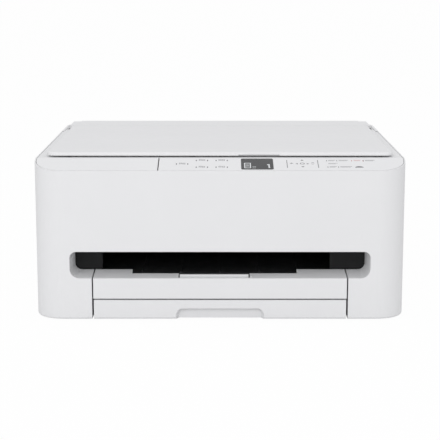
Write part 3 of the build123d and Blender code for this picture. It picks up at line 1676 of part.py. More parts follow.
def main():
    os.makedirs("parts", exist_ok=True)
    save(make_main_casing(), "main_casing")
    save(make_base_frame(), "base_frame")
    save(make_rubber_feet(), "rubber_feet")
    save(make_chassis(), "chassis")
    save(make_guide_shaft(), "guide_shaft")
    save(make_platen(), "platen")
    save(make_maintenance_station(), "maintenance_station")
    save(make_inner_frame(), "inner_frame")
    save(make_mechanism_cover(), "mechanism_cover")
    save(make_power_supply(), "power_supply")
    save(make_power_inlet(), "power_inlet")
    save(make_data_port(), "data_port")
    save(make_main_board(), "main_board")
    save(make_motor(motor_y, motor_z, -plate_inner, 30, 13), "feed_motor")
    save(make_motor(beam_y + 2, pulley_z, pulley_x, 26, 12, axis_y=True), "carriage_motor")
    save(make_carriage_belt(), "carriage_belt")
    save(make_pulley(pulley_x, True), "motor_pulley")
    save(make_pulley(-pulley_x, False), "idler_pulley")
    save(make_pinch_holder(), "pinch_roller_holder")
    save(make_pinch_rollers(), "pinch_rollers")
    save(make_roller(feed_y, roller_z, feed_radius, [(-roller_half, roller_half)]), "feed_roller")
    save(make_roller(eject_y, roller_z, eject_radius, eject_sections()), "eject_roller")
    save(train_gear(feed_y, roller_z, feed_teeth, 0.0, shaft_radius, True, 5), "feed_gear")
    idler_bore = stud_radius + pin_clearance
    save(train_gear(idler_y, roller_z, idler_teeth, 180 / idler_teeth, idler_bore, False, 6), "idler_gear")
    save(train_gear(eject_y, roller_z, eject_teeth, 180 / eject_teeth, shaft_radius, True, 4), "eject_gear")
    save(make_motor_pinion(), "motor_pinion")
    save(make_carriage(), "carriage")
    for index, ink in enumerate(("black", "colour")):
        save(make_cartridge(index), f"ink_cartridge_{ink}")
        save(make_lever(index), f"lock_lever_{ink}")
    save(make_u_turn_guide(), "u_turn_guide")
    save(make_rear_tray_chute(), "rear_tray_chute")
    save(make_rear_guide(-1), "rear_guide_left")
    save(make_rear_guide(1), "rear_guide_right")
    save(make_rear_tray_cover(), "rear_tray_cover")
    save(make_rear_access_cover(), "rear_access_cover")
    save(make_hinge_brackets(), "scanner_hinge_brackets")
    save(make_stay_guide(), "stay_guide")
    save(make_scanner_stay(), "scanner_stay")
    save(make_scanner_frame(), "scanner_frame")
    save(make_scanner_top_cover(), "scanner_top_cover")
    save(make_platen_glass(), "platen_glass")
    save(make_operation_panel(), "operation_panel")
    save(make_display_window(), "display_window")
    save(make_touch_board(), "touch_sensor_board")
    save(make_sensor_rod(), "sensor_rod")
    save(make_image_sensor(), "image_sensor")
    save(make_hinge_posts(), "cover_hinge_posts")
    save(make_document_cover(), "document_cover")
    save(make_pressure_sheet(), "pressure_sheet")
    save(make_output_tray_front(), "output_tray_front")
    save(make_output_tray_floor(), "output_tray_floor")
    save(make_output_support(), "output_support")
    save(make_cassette_front(), "cassette_front")
    save(make_cassette_tray(), "cassette_tray")
    save(make_cassette_guide(-1), "cassette_guide_left")
    save(make_cassette_guide(1), "cassette_guide_right")
    save(make_cassette_pinion(), "cassette_pinion")
    save(make_length_guide(), "cassette_length_guide")
    print("stay pin track", [tuple(round(v, 1) for v in stay_pin_at(a)) for a in (0, 20, 40)])


main()
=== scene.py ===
import json
from math import cos, pi, radians, sin

import bmesh
import bpy
from mathutils import Matrix, Vector


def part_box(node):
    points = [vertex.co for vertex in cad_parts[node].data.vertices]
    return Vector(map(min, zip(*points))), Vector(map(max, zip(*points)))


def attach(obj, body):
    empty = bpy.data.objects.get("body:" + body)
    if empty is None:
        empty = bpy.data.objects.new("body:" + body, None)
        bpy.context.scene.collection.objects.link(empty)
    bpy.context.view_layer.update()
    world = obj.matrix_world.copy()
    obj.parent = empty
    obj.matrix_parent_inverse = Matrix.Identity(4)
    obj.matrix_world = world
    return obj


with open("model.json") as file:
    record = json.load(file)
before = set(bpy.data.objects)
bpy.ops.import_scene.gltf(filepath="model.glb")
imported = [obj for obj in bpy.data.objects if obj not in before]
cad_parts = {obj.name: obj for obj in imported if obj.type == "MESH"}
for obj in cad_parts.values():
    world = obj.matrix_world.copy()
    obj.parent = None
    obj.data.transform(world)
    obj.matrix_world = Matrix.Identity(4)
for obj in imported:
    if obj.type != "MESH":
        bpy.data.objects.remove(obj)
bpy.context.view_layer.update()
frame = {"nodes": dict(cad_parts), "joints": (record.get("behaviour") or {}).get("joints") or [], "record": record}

MM = 0.001


# Places read from the frame, in millimetres to the nearest hundredth

def millimetres(place):
    """A place in metres, in millimetres."""
    return [round(value / MM, 2) for value in place]


def spans(node):
    """A node's spans along x, y and z at rest."""
    low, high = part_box(node)
    return list(zip(millimetres(low), millimetres(high)))


def top_of(node):
    """The height of a node's top."""
    return spans(node)[2][1]


def middle_of(span):
    """A span's middle to the nearest tenth, as a round face is a little flattened in the frame."""
    return round(sum(span) / 2, 1)


def axis_place(joint):
    """A point on a joint's axis at rest."""
    return millimetres(next(j["pos_m"] for j in frame["joints"] if j["name"] == joint))


casing_front = spans("main_casing")[1][0]
rim_top = top_of("main_casing")

# The ledge with the panel rises from a crease at the top of the casing's front, this far below its rim
crease_drop = 8.2
ledge_slope = radians(13.5)


# Node materials

# The sockets of a Mix node that mixes colours
MIX_FACTOR, MIX_FIRST, MIX_SECOND, MIX_RESULT = 0, 6, 7, 2


def new_material(name):
    """A material with a principled shader on its output."""
    material = bpy.data.materials.new(name)
    material.use_nodes = True
    tree = material.node_tree
    tree.nodes.clear()
    output = tree.nodes.new("ShaderNodeOutputMaterial")
    shader = tree.nodes.new("ShaderNodeBsdfPrincipled")
    tree.links.new(shader.outputs["BSDF"], output.inputs["Surface"])
    return material, tree, shader


def noise(tree, size_mm, detail=2.0, stretch=(1, 1, 1), rough=0.5):
    """A noise on object coordinates, its features about size_mm across times the stretch of each axis."""
    coordinates = tree.nodes.new("ShaderNodeTexCoord")
    mapping = tree.nodes.new("ShaderNodeMapping")
    mapping.inputs["Scale"].default_value = [1 / (size_mm * MM * s) for s in stretch]
    texture = tree.nodes.new("ShaderNodeTexNoise")
    texture.inputs["Scale"].default_value = 1.0
    texture.inputs["Detail"].default_value = detail
    texture.inputs["Roughness"].default_value = rough
    tree.links.new(coordinates.outputs["Object"], mapping.inputs["Vector"])
    tree.links.new(mapping.outputs["Vector"], texture.inputs["Vector"])
    return texture.outputs["Fac"]


def spread(tree, value, low, high):
    """A noise's value, mostly between 0.3 and 0.7, mapped to low..high."""
    node = tree.nodes.new("ShaderNodeMapRange")
    node.inputs["From Min"].default_value = 0.3
    node.inputs["From Max"].default_value = 0.7
    node.inputs["To Min"].default_value = low
    node.inputs["To Max"].default_value = high
    tree.links.new(value, node.inputs["Value"])
    return node.outputs["Result"]


def colour_between(tree, shader, factor, first, second):
    """Gives the shader a colour between two plain ones."""
    node = tree.nodes.new("ShaderNodeMix")
    node.data_type = "RGBA"
    tree.links.new(factor, node.inputs[MIX_FACTOR])
    node.inputs[MIX_FIRST].default_value = (*first, 1)
    node.inputs[MIX_SECOND].default_value = (*second, 1)
    tree.links.new(node.outputs[MIX_RESULT], shader.inputs["Base Color"])


def rough_between(tree, shader, value, low, high):
    """Gives the shader a roughness between two."""
    tree.links.new(spread(tree, value, low, high), shader.inputs["Roughness"])


def arithmetic(tree, operation, *values):
    """The result of a Math node on other nodes' outputs and plain numbers."""
    node = tree.nodes.new("ShaderNodeMath")
    node.operation = operation
    for value, socket in zip(values, node.inputs):
        if hasattr(value, "is_output"):
            tree.links.new(value, socket)
        else:
            socket.default_value = value
    return node.outputs[0]


def mix_shaders(tree, factor, first, second, output):
    """Puts a mix on the output: first where the factor is 0, second where it is 1."""
    mix = tree.nodes.new("ShaderNodeMixShader")
    for value, socket in zip((factor, first, second), mix.inputs):
        tree.links.new(value, socket)
    tree.links.new(mix.outputs[0], output.inputs["Surface"])


def grain(tree, shader, height, depth_mm, strength, edge_mm):
    """A bump of the shader's normal over edges rounded by edge_mm."""
    bump = tree.nodes.new("ShaderNodeBump")
    bump.inputs["Strength"].default_value = strength
    bump.inputs["Distance"].default_value = depth_mm * MM
    tree.links.new(height, bump.inputs["Height"])
    if edge_mm:
        bevel = tree.nodes.new("ShaderNodeBevel")
        bevel.samples = 4
        bevel.inputs["Radius"].default_value = edge_mm * MM
        tree.links.new(bevel.outputs["Normal"], bump.inputs["Normal"])
    tree.links.new(bump.outputs["Normal"], shader.inputs["Normal"])


# Sizes of a plastic's mottling and of its patches of gloss, and the depth of a fine grain
CLOUD_MM, PATCH_MM, GRAIN_DEPTH_MM = 60.0, 9.0, 0.02


def plastic(name, colour, rough, grain_mm, strength, mottle, edge_mm, specular=0.5):
    """Moulded plastic: a fine eroded grain, slight mottling and softened edges."""
    material, tree, shader = new_material(name)
    darker = [c * (1 - mottle) for c in colour]
    clouds = noise(tree, CLOUD_MM, detail=3.0)
    colour_between(tree, shader, spread(tree, clouds, 0, 1), darker, colour)
    rough_between(tree, shader, noise(tree, PATCH_MM, detail=4.0), rough - 0.05, rough + 0.05)
    grain(tree, shader, noise(tree, grain_mm, detail=3.0, rough=0.6), GRAIN_DEPTH_MM, strength, edge_mm)
    shader.inputs["IOR"].default_value = 1.49
    shader.inputs["Specular IOR Level"].default_value = specular
    return material


def metal(name, colour, rough, stretch, line_mm, strength=0.15):
    """Brushed or ground metal, its lines along the axis with the large stretch."""
    material, tree, shader = new_material(name)
    lines = noise(tree, line_mm, detail=4.0, stretch=stretch)
    darker = [c * 0.88 for c in colour]
    colour_between(tree, shader, spread(tree, lines, 0, 1), darker, colour)
    rough_between(tree, shader, lines, rough - 0.07, rough + 0.07)
    shader.inputs["Metallic"].default_value = 1.0
    grain(tree, shader, lines, GRAIN_DEPTH_MM, strength, edge_mm=0.2)
    return material


def axis_distance(tree, y_mm, z_mm):
    """How far a point is from the line along X at y, z, in metres."""
    coordinates = tree.nodes.new("ShaderNodeTexCoord")
    split = tree.nodes.new("ShaderNodeSeparateXYZ")
    tree.links.new(coordinates.outputs["Object"], split.inputs["Vector"])
    squares = []
    for axis, middle in (("Y", y_mm * MM), ("Z", z_mm * MM)):
        shifted = arithmetic(tree, "SUBTRACT", split.outputs[axis], middle)
        squares.append(arithmetic(tree, "MULTIPLY", shifted, shifted))
    return arithmetic(tree, "SQRT", arithmetic(tree, "ADD", *squares))


def roller_material(name, joint, shaft_radius, tread):
    """A ground steel shaft with rubber sleeves, told apart by the distance from the joint's axis."""
    material, tree, rubber = new_material(name)
    steel = tree.nodes.new("ShaderNodeBsdfPrincipled")
    steel.inputs["Metallic"].default_value = 1.0
    lines = noise(tree, 0.6, detail=3.0, stretch=(0.3, 8, 8))
    colour_between(tree, steel, lines, (0.55, 0.56, 0.57), (0.72, 0.73, 0.74))
    rough_between(tree, steel, lines, 0.18, 0.32)
    fine = noise(tree, 0.4, detail=3.0)
    colour_between(tree, rubber, fine, tread, [c * 1.5 for c in tread])
    rough_between(tree, rubber, fine, 0.7, 0.9)
    grain(tree, rubber, fine, depth_mm=0.05, strength=0.5, edge_mm=0.2)
    shaft_margin = 0.1
    distance = axis_distance(tree, *axis_place(joint)[1:])
    outside = arithmetic(tree, "GREATER_THAN", distance, (shaft_radius + shaft_margin) * MM)
    mix_shaders(tree, outside, steel.outputs[0], rubber.outputs[0], tree.nodes["Material Output"])
    return material


def glass_material():
    """Float glass with faint smears."""
    material, tree, shader = new_material("scanner_glass")
    shader.inputs["Base Color"].default_value = (0.86, 0.93, 0.91, 1)
    shader.inputs["Transmission Weight"].default_value = 0.9
    shader.inputs["IOR"].default_value = 1.5
    rough_between(tree, shader, noise(tree, 70.0, detail=3.0), 0.01, 0.05)
    return material


def display_material():
    """A dark tinted cover with a faint mottling under the gloss."""
    material, tree, shader = new_material("display_cover")
    cloud = spread(tree, noise(tree, 12.0), 0, 1)
    colour_between(tree, shader, cloud, (0.026, 0.027, 0.029), (0.036, 0.037, 0.039))
    rough_between(tree, shader, noise(tree, 5.0), 0.12, 0.2)
    shader.inputs["Specular IOR Level"].default_value = 0.4
    return material


def board_material():
    """Solder mask over copper tracks; the mapping turns the pattern onto an upright board."""
    material, tree, shader = new_material("solder_mask")
    bricks = tree.nodes.new("ShaderNodeTexBrick")
    bricks.inputs["Scale"].default_value = 220.0
    bricks.inputs["Color1"].default_value = (0.012, 0.12, 0.045, 1)
    bricks.inputs["Color2"].default_value = (0.02, 0.17, 0.065, 1)
    bricks.inputs["Mortar"].default_value = (0.05, 0.26, 0.11, 1)
    bricks.inputs["Mortar Size"].default_value = 0.03
    turned = tree.nodes.new("ShaderNodeMapping")
    turned.inputs["Rotation"].default_value = (0, radians(90), radians(90))
    coordinates = tree.nodes.new("ShaderNodeTexCoord")
    tree.links.new(coordinates.outputs["Object"], turned.inputs["Vector"])
    tree.links.new(turned.outputs["Vector"], bricks.inputs["Vector"])
    tree.links.new(bricks.outputs["Color"], shader.inputs["Base Color"])
    rough_between(tree, shader, noise(tree, 3.0), 0.25, 0.4)
    grain(tree, shader, bricks.outputs["Fac"], depth_mm=0.05, strength=0.4, edge_mm=0.1)
    return material


def foam_material():
    """The white foam that presses on the original: a felted face."""
    material, tree, shader = new_material("foam_sheet")
    fibres = noise(tree, 0.8, detail=6.0, stretch=(1, 3, 1), rough=0.7)
    colour_between(tree, shader, fibres, (0.86, 0.86, 0.85), (0.93, 0.93, 0.925))
    rough_between(tree, shader, fibres, 0.85, 0.95)
    shader.inputs["Sheen Weight"].default_value = 0.25
    grain(tree, shader, fibres, depth_mm=0.08, strength=0.5, edge_mm=0.3)
    return material


def ink_print(name, colour):
    """Pad-printed ink, a little uneven."""
    material, tree, shader = new_material(name)
    speckle = noise(tree, 0.3, detail=3.0)
    lighter = [c + (1 - c) * 0.08 for c in colour]
    colour_between(tree, shader, spread(tree, speckle, 0, 1), colour, lighter)
    rough_between(tree, shader, speckle, 0.45, 0.6)
    return material


materials = {
    "white_plastic": plastic(
        "white_abs", (0.806, 0.808, 0.818),
        rough=0.42, grain_mm=0.45, strength=0.16, mottle=0.012, edge_mm=0.4,
    ),
    "black_plastic": plastic(
        "black_ps", (0.012, 0.012, 0.013),
        rough=0.5, grain_mm=0.7, strength=0.35, mottle=0.15, edge_mm=0.3, specular=0.2,
    ),
    "grey_plastic": plastic(
        "grey_pom", (0.12, 0.122, 0.126),
        rough=0.48, grain_mm=0.6, strength=0.3, mottle=0.06, edge_mm=0.3,
    ),
    "steel": metal("plated_sheet", (0.62, 0.63, 0.64), rough=0.36, stretch=(6, 6, 0.6), line_mm=1.2),
    "bright_steel": metal(
        "ground_shaft", (0.78, 0.785, 0.79),
        rough=0.16, stretch=(0.3, 6, 6), line_mm=0.5, strength=0.08,
    ),
    "rubber": plastic(
        "rubber_black", (0.03, 0.03, 0.032),
        rough=0.75, grain_mm=0.5, strength=0.5, mottle=0.1, edge_mm=0.5,
    ),
    "glass": glass_material(),
    "display_glass": display_material(),
    "circuit_board": board_material(),
    "white_sheet": foam_material(),
    "gear_plastic": plastic(
        "acetal_natural", (0.72, 0.70, 0.64),
        rough=0.4, grain_mm=0.8, strength=0.15, mottle=0.04, edge_mm=0.15,
    ),
    "ink_black": plastic(
        "cartridge_black", (0.035, 0.036, 0.04),
        rough=0.35, grain_mm=0.7, strength=0.2, mottle=0.08, edge_mm=0.5,
    ),
    "ink_colour": plastic(
        "cartridge_grey", (0.22, 0.23, 0.25),
        rough=0.35, grain_mm=0.7, strength=0.2, mottle=0.05, edge_mm=0.5,
    ),
    "lever_grey": plastic(
        "lever_grey", (0.42, 0.43, 0.44),
        rough=0.4, grain_mm=0.6, strength=0.2, mottle=0.04, edge_mm=0.4,
    ),
}
tray_black = plastic(
    "tray_black", (0.035, 0.035, 0.037),
    rough=0.35, grain_mm=0.7, strength=0.3, mottle=0.1, edge_mm=0.3,
)
tray_grey = plastic(
    "tray_grey", (0.40, 0.405, 0.415),
    rough=0.48, grain_mm=0.6, strength=0.25, mottle=0.04, edge_mm=0.3,
)

# Nodes that look different from their slot; a roller gives its joint, shaft radius and rubber colour
own_materials = {
    "feed_roller": roller_material("feed_roller_finish", "feed_roller_spin", 4.0, (0.05, 0.05, 0.055)),
    "eject_roller": roller_material("eject_roller_finish", "eject_roller_spin", 4.0, (0.10, 0.10, 0.11)),
    "pinch_rollers": roller_material("pinch_rollers_finish", "pinch_roller_spin", 1.5, (0.28, 0.28, 0.29)),
    "output_tray_floor": tray_black,
    "rear_tray_chute": tray_grey,
}


def dress(obj, material):
    """Puts one material on all of an object."""
    if obj.data.materials:
        for index in range(len(obj.data.materials)):
            obj.data.materials[index] = material
    else:
        obj.data.materials.append(material)


for subpart in frame["record"]["subparts"]:
    node = subpart["node"]
    dress(frame["nodes"][node], own_materials.get(node, materials[subpart["material_slot"]]))


# Pieces made here, in millimetres

def piece(name, mesh, body, material):
    """A bmesh in millimetres becomes an object that rides on a body."""
    mesh.transform(Matrix.Scale(MM, 4))
    data = bpy.data.meshes.new(name)
    bmesh.ops.recalc_face_normals(mesh, faces=mesh.faces)
    mesh.to_mesh(data)
    mesh.free()
    data.materials.append(material)
    obj = bpy.data.objects.new(name, data)
    bpy.context.scene.collection.objects.link(obj)
    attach(obj, body)


def placed(x_axis, y_axis, z_axis, origin):
    """The matrix of a frame with these axes and this origin."""
    matrix = Matrix((x_axis, y_axis, z_axis)).transposed().to_4x4()
    matrix.translation = origin
    return matrix


def standing(x, y, z, normal=(0, 0, 1)):
    """A frame at x, y, z whose own z axis is normal; its x axis is the world's, or Y for a normal along X."""
    up = Vector(normal)
    side = Vector((0, 1, 0)) if up.x else Vector((1, 0, 0))
    return placed(side, up.cross(side), up, (x, y, z))


def ledge_frame(lift):
    """A frame on the ledge for outlines in x, t: x to the right, t up the slope from the crease."""
    up = Vector((0, cos(ledge_slope), sin(ledge_slope)))
    normal = Vector((0, -sin(ledge_slope), cos(ledge_slope)))
    crease = Vector((0, casing_front, rim_top - crease_drop))
    return placed(Vector((1, 0, 0)), up, normal, crease + normal * lift)


# Outlines

def circle(radius, count):
    """Points round the origin."""
    angles = [2 * pi * n / count for n in range(count)]
    return [(radius * cos(angle), radius * sin(angle)) for angle in angles]


def rectangle(x, y):
    """A rectangle's outline from its two spans."""
    return [(x[0], y[0]), (x[1], y[0]), (x[1], y[1]), (x[0], y[1])]


def rounded(x, y, radius):
    """A rectangle's outline with round corners."""
    steps = 4
    points = []
    for cx, cy, start in ((x[1], y[1], 0), (x[0], y[1], 90), (x[0], y[0], 180), (x[1], y[0], 270)):
        mx = cx + (radius if cx == x[0] else -radius)
        my = cy + (radius if cy == y[0] else -radius)
        for n in range(steps + 1):
            angle = radians(start + 90 * n / steps)
            points.append((mx + radius * cos(angle), my + radius * sin(angle)))
    return points


def bar(x, y, length, width):
    """A bar with round ends along x."""
    reach = length / 2 - width / 2
    points = []
    for end, start in ((1, -90), (-1, 90)):
        for angle in range(start, start + 181, 30):
            turn = radians(angle)
            points.append((x + end * reach + width / 2 * cos(turn), y + width / 2 * sin(turn)))
    return points


def stroke(a, b, width):
    """A straight stroke from a to b."""
    (ax, ay), (bx, by) = a, b
    length = ((bx - ax) ** 2 + (by - ay) ** 2) ** 0.5
    nx = (ay - by) / length * width / 2
    ny = (bx - ax) / length * width / 2
    return [(ax + nx, ay + ny), (ax - nx, ay - ny), (bx - nx, by - ny), (bx + nx, by + ny)]


def upright(x, y, height, width):
    """A stroke along y about its middle."""
    return stroke((x, y - height / 2), (x, y + height / 2), width)


def fan(x, y, size, angles):
    """Points round x, y at the angles in degrees."""
    return [(x + size * cos(radians(a)), y + size * sin(radians(a))) for a in angles]


def arrow(x, y, size, angle):
    """A filled arrow head that points along the angle."""
    return fan(x, y, size, (angle, angle + 120, angle + 240))


def drop(x, y, radius, tip):
    """A drop: its round part about x, y, its point at x, tip."""
    return fan(x, y, radius, range(150, 391, 20)) + [(x, tip)]


def ring(x, y, radius, width):
    """The two halves of a ring."""
    steps = 16
    halves = []
    for start in (0, 180):
        angles = [start + 180 * n / steps for n in range(steps + 1)]
        outer = fan(x, y, radius + width / 2, angles)
        inner = fan(x, y, radius - width / 2, angles)
        halves.append(outer + inner[::-1])
    return halves


def chevron(x, y, size, angle):
    """The two strokes of an open arrow head that points along the angle."""
    line = 0.5
    tip, *ends = fan(x, y, size, (angle, angle + 120, angle - 120))
    return [stroke(end, tip, line) for end in ends]


def sheet_symbol(x, y, width, height, line):
    """The edges of a sheet of paper and a line of text on it."""
    marks = [upright(x + side * width / 2, y, height + line, line) for side in (-1, 1)]
    for share, reach in ((-0.5, 1), (0, 0.6), (0.5, 1)):
        marks.append(bar(x, y + height * share, width * reach, line))
    return marks


def tick(middle):
    """The span of a fine line about its middle."""
    half = 0.3
    return middle - half, middle + half


# Solids

def prism(mesh, points, height, matrix):
    """A flat outline raised by height along the matrix's z axis."""
    low = [mesh.verts.new(matrix @ Vector((x, y, 0))) for x, y in points]
    high = [mesh.verts.new(matrix @ Vector((x, y, height))) for x, y in points]
    mesh.faces.new(low[::-1])
    mesh.faces.new(high)
    for n in range(len(points)):
        m = (n + 1) % len(points)
        mesh.faces.new((low[n], low[m], high[m], high[n]))


def band(mesh, outer, inner, height, matrix):
    """A raised frame between two outlines with as many points."""
    rings = []
    for outline, z in ((outer, 0), (outer, height), (inner, height), (inner, 0)):
        rings.append([mesh.verts.new(matrix @ Vector((x, y, z))) for x, y in outline])
    for first, second in zip(rings, rings[1:] + rings[:1]):
        for n in range(len(outer)):
            m = (n + 1) % len(outer)
            mesh.faces.new((first[n], first[m], second[m], second[n]))


def lathe(mesh, profile, matrix, count):
    """A profile of (radius, height) points turned about the matrix's z axis; radius 0 closes an end."""
    rings = []
    for radius, height in profile:
        if radius:
            rings.append([mesh.verts.new(matrix @ Vector((*xy, height))) for xy in circle(radius, count)])
        else:
            rings.append([mesh.verts.new(matrix @ Vector((0, 0, height)))] * count)
    for first, second in zip(rings, rings[1:]):
        for n in range(count):
            m = (n + 1) % count
            mesh.faces.new(list(dict.fromkeys((first[n], first[m], second[m], second[n]))))


def plates(name, body, material, outlines, z, height):
    """Flat outlines in x, y that stand on the height z."""
    mesh = bmesh.new()
    for outline in outlines:
        prism(mesh, outline, height, standing(0, 0, z))
    piece(name, mesh, body, material)


# A pan head and its cross recess, as shares of the head's radius
HEAD_PROFILE = ((0, 0), (1, 0), (1, 0.3), (0.84, 0.5), (0.76, 0.55))
CROSS_HALF_WIDTH, CROSS_REACH, CROSS_TAPER, CROSS_FLOOR = 0.14, 0.62, 0.7, 0.15


def screw(mesh, matrix, radius):
    """A pan-head screw with a cross recess."""
    sides = 24
    lathe(mesh, [(r * radius, h * radius) for r, h in HEAD_PROFILE], matrix, sides)
    top_radius, top = (share * radius for share in HEAD_PROFILE[-1])
    slot, reach = CROSS_HALF_WIDTH * radius, CROSS_REACH * radius
    cross = []
    for quarter in range(4):
        angle = pi / 2 * quarter
        for x, y in ((reach, -slot), (reach, slot), (slot, slot)):
            cross.append((x * cos(angle) - y * sin(angle), x * sin(angle) + y * cos(angle)))
    small_cross = [(x * CROSS_TAPER, y * CROSS_TAPER) for x, y in cross]
    bottom = CROSS_FLOOR * radius
    edge = [mesh.verts.new(matrix @ Vector((*xy, top))) for xy in circle(top_radius, sides)]
    mouth = [mesh.verts.new(matrix @ Vector((*xy, top))) for xy in cross]
    floor = [mesh.verts.new(matrix @ Vector((*xy, bottom))) for xy in small_cross]
    loops = []
    for loop in (edge, mouth):
        loops += [mesh.edges.new((loop[n], loop[(n + 1) % len(loop)])) for n in range(len(loop))]
    bmesh.ops.triangle_fill(mesh, use_beauty=True, edges=loops)
    for n in range(len(cross)):
        m = (n + 1) % len(cross)
        mesh.faces.new((mouth[n], mouth[m], floor[m], floor[n]))
    mesh.faces.new(floor)
    bmesh.ops.remove_doubles(mesh, verts=mesh.verts, dist=0.001)


def screws(name, places, radius, normal=(0, 0, 1)):
    """Screws in the printer's base, their heads towards the normal."""
    mesh = bmesh.new()
    for place in places:
        screw(mesh, standing(*place, normal), radius)
    piece(name, mesh, "printer_base", zinc)


# How far a spring's ends run down below its turns
SPRING_ARM = 1.2


def coil(mesh, start, length, radius, wire, turns):
    """A spring along x from start, its ends running down as straight arms."""
    turn_steps, wire_sides = 16, 6
    x, y, z = start
    steps = turns * turn_steps
    path = [Vector((x, y + radius, z - radius - SPRING_ARM))]
    for n in range(steps + 1):
        angle = 2 * pi * n / turn_steps
        path.append(Vector((x + length * n / steps, y + radius * cos(angle), z + radius * sin(angle))))
    path.append(Vector((x + length, y + radius, z - radius - SPRING_ARM)))
    rings = []
    for n, point in enumerate(path):
        along = (path[min(n + 1, len(path) - 1)] - path[max(n - 1, 0)]).normalized()
        side = along.orthogonal() if n == 0 else (rings[-1][0].co - path[n - 1]).normalized()
        side = (side - along * side.dot(along)).normalized()
        other = along.cross(side)
        section = circle(1, wire_sides)
        rings.append([mesh.verts.new(point + wire * (side * a + other * b)) for a, b in section])
    for first, second in zip(rings, rings[1:]):
        for n in range(wire_sides):
            m = (n + 1) % wire_sides
            mesh.faces.new((first[n], first[m], second[m], second[n]))
    mesh.faces.new(rings[0][::-1])
    mesh.faces.new(rings[-1])


# The panel's touch keys: generic marks printed on the ledge, at x and t up the slope from the crease

dark_ink = ink_print("ink_dark_grey", (0.17, 0.17, 0.18))
pale_ink = ink_print("ink_mid_grey", (0.27, 0.27, 0.28))
red_ink = ink_print("ink_soft_red", (0.60, 0.32, 0.32))
glow_ink = ink_print("display_symbols", (0.70, 0.72, 0.73))

# How far a print stands off its surface, and how thick it is
print_lift, print_height = 0.005, 0.04


def printed(name, outlines, ink):
    """Marks on the ledge."""
    mesh = bmesh.new()
    for outline in outlines:
        prism(mesh, outline, print_height, ledge_frame(print_lift))
    piece(name, mesh, "scanner_unit", ink)


def copy_keys():
    """Five keys, each two small sheets between two end marks."""
    end_reach, end_size = 5.6, (3.2, 1.1)
    sheet_reach, sheet_size, line = 1.7, (2.3, 3.0), 0.55
    ends, sheets = [], []
    places = ((-37.8, 18.6), (-18.1, 28.1), (-18.0, 10.0), (1.7, 28.1), (1.7, 10.0))
    for x, t in places:
        for side, rise in ((-1, 1.4), (1, 1.0)):
            ends.append(upright(x + side * end_reach, t, *end_size))
            sheets += sheet_symbol(x + side * sheet_reach, t + rise, *sheet_size, line)
    printed("copy_key_ends", ends, dark_ink)
    printed("copy_key_sheets", sheets, pale_ink)


def navigation_keys():
    """Four arrows round a ring, with a back key left of them and a home key right, between two lines."""
    lines = [upright(x, 18.7, height=20.5, width=0.7) for x in (66.9, 97.8)]
    printed("separator_lines", lines, dark_ink)
    side_size, end_size = 1.7, 1.9
    marks = [arrow(76.9, 19.2, side_size, 180), arrow(87.4, 19.2, side_size, 0)]
    marks += [arrow(82.3, 28.4, end_size, 90), arrow(82.3, 11.4, end_size, -90)]
    bar_length, line = 2.6, 0.8
    marks += [bar(72.0, 20.4, bar_length, line)] + chevron(71.2, 20.4, 1.5, 180)
    marks += ring(82.2, 19.8, 2.0, line)
    marks += chevron(92.6, 21.4, 1.8, 90) + [bar(92.6, 18.4, bar_length, line)]
    printed("navigation_marks", marks, dark_ink)


def status_keys():
    """Lamps and keys with two bars of text each, a red stop key, and a start key with a half disc."""
    end_size, line = (3.4, 0.8), 0.75
    marks = []
    for x, t, length in (
        (112.2, 28.1, 7.4), (123.8, 28.1, 10.0), (112.4, 11.0, 7.4), (125.2, 11.0, 12.0), (150.4, 28.0, 10.0),
    ):
        marks.append(upright(x - length / 2 - 1.6, t - 0.6, *end_size))
        marks += [bar(x, t + 0.8, length, line), bar(x - 0.8, t - 1.0, length - 1.6, line)]
    marks += [bar(112.8, 20.4, 9.5, 0.7), bar(111.8, 18.8, 7.5, 0.6)]
    printed("status_marks", marks, pale_ink)
    stop = [upright(132.0, 27.4, *end_size), upright(143.4, 27.0, *end_size)]
    stop += [bar(137.6, 29.0, 7.5, line), bar(137.4, 27.2, 6.0, line)]
    printed("stop_key_marks", stop, red_ink)
    x, t, half_width, rise = 138.2, 9.0, 4.2, 3.6
    half_disc = [(x + half_width * cos(radians(a)), t + rise * sin(radians(a))) for a in range(0, 181, 12)]
    printed("start_key_mark", [half_disc], dark_ink)


def display_symbols():
    """A sheet, two bars and the figure 1 in the display."""
    sheet_x = 27.4
    shown = sheet_symbol(sheet_x, 14.5, 5.6, 13.0, 1.1)
    shown += [bar(sheet_x, t, 3.4, 0.9) for t in (11.0, 18.0)]
    shown += [bar(34.0, t, 3.6, 0.7) for t in (8.0, 11.5)]
    shown += [stroke((49.0, 8.0), (48.6, 18.5), 1.5), stroke((48.7, 18.6), (46.9, 15.8), 1.1)]
    printed("display_symbols", shown, glow_ink)


copy_keys()
navigation_keys()
status_keys()
display_symbols()


# Small pieces that the solids leave out

zinc = metal("zinc_plated", (0.70, 0.69, 0.66), rough=0.3, stretch=(1, 1, 1), line_mm=0.6)
spring_wire = metal("spring_wire", (0.60, 0.60, 0.61), rough=0.25, stretch=(2, 2, 2), line_mm=0.5)
brass = metal("contact_brass", (0.80, 0.62, 0.30), rough=0.22, stretch=(1, 6, 1), line_mm=0.4, strength=0.08)
nickel = metal("pin_nickel", (0.74, 0.73, 0.70), rough=0.2, stretch=(6, 1, 6), line_mm=0.4, strength=0.08)
soft_rubber = plastic(
    "soft_rubber", (0.05, 0.05, 0.053),
    rough=0.8, grain_mm=0.4, strength=0.5, mottle=0.1, edge_mm=0.1,
)
# Near-black plastic for pieces that paint shade into the slits at the output support flap's ends
slit_shade_plastic = plastic(
    "slit_painted_shade", (0.01, 0.01, 0.01),
    rough=0.6, grain_mm=0.4, strength=0.3, mottle=0.1, edge_mm=0.1, specular=0.2,
)
cork = plastic(
    "cork_pad", (0.42, 0.26, 0.14),
    rough=0.85, grain_mm=1.2, strength=0.8, mottle=0.35, edge_mm=0.2,
)
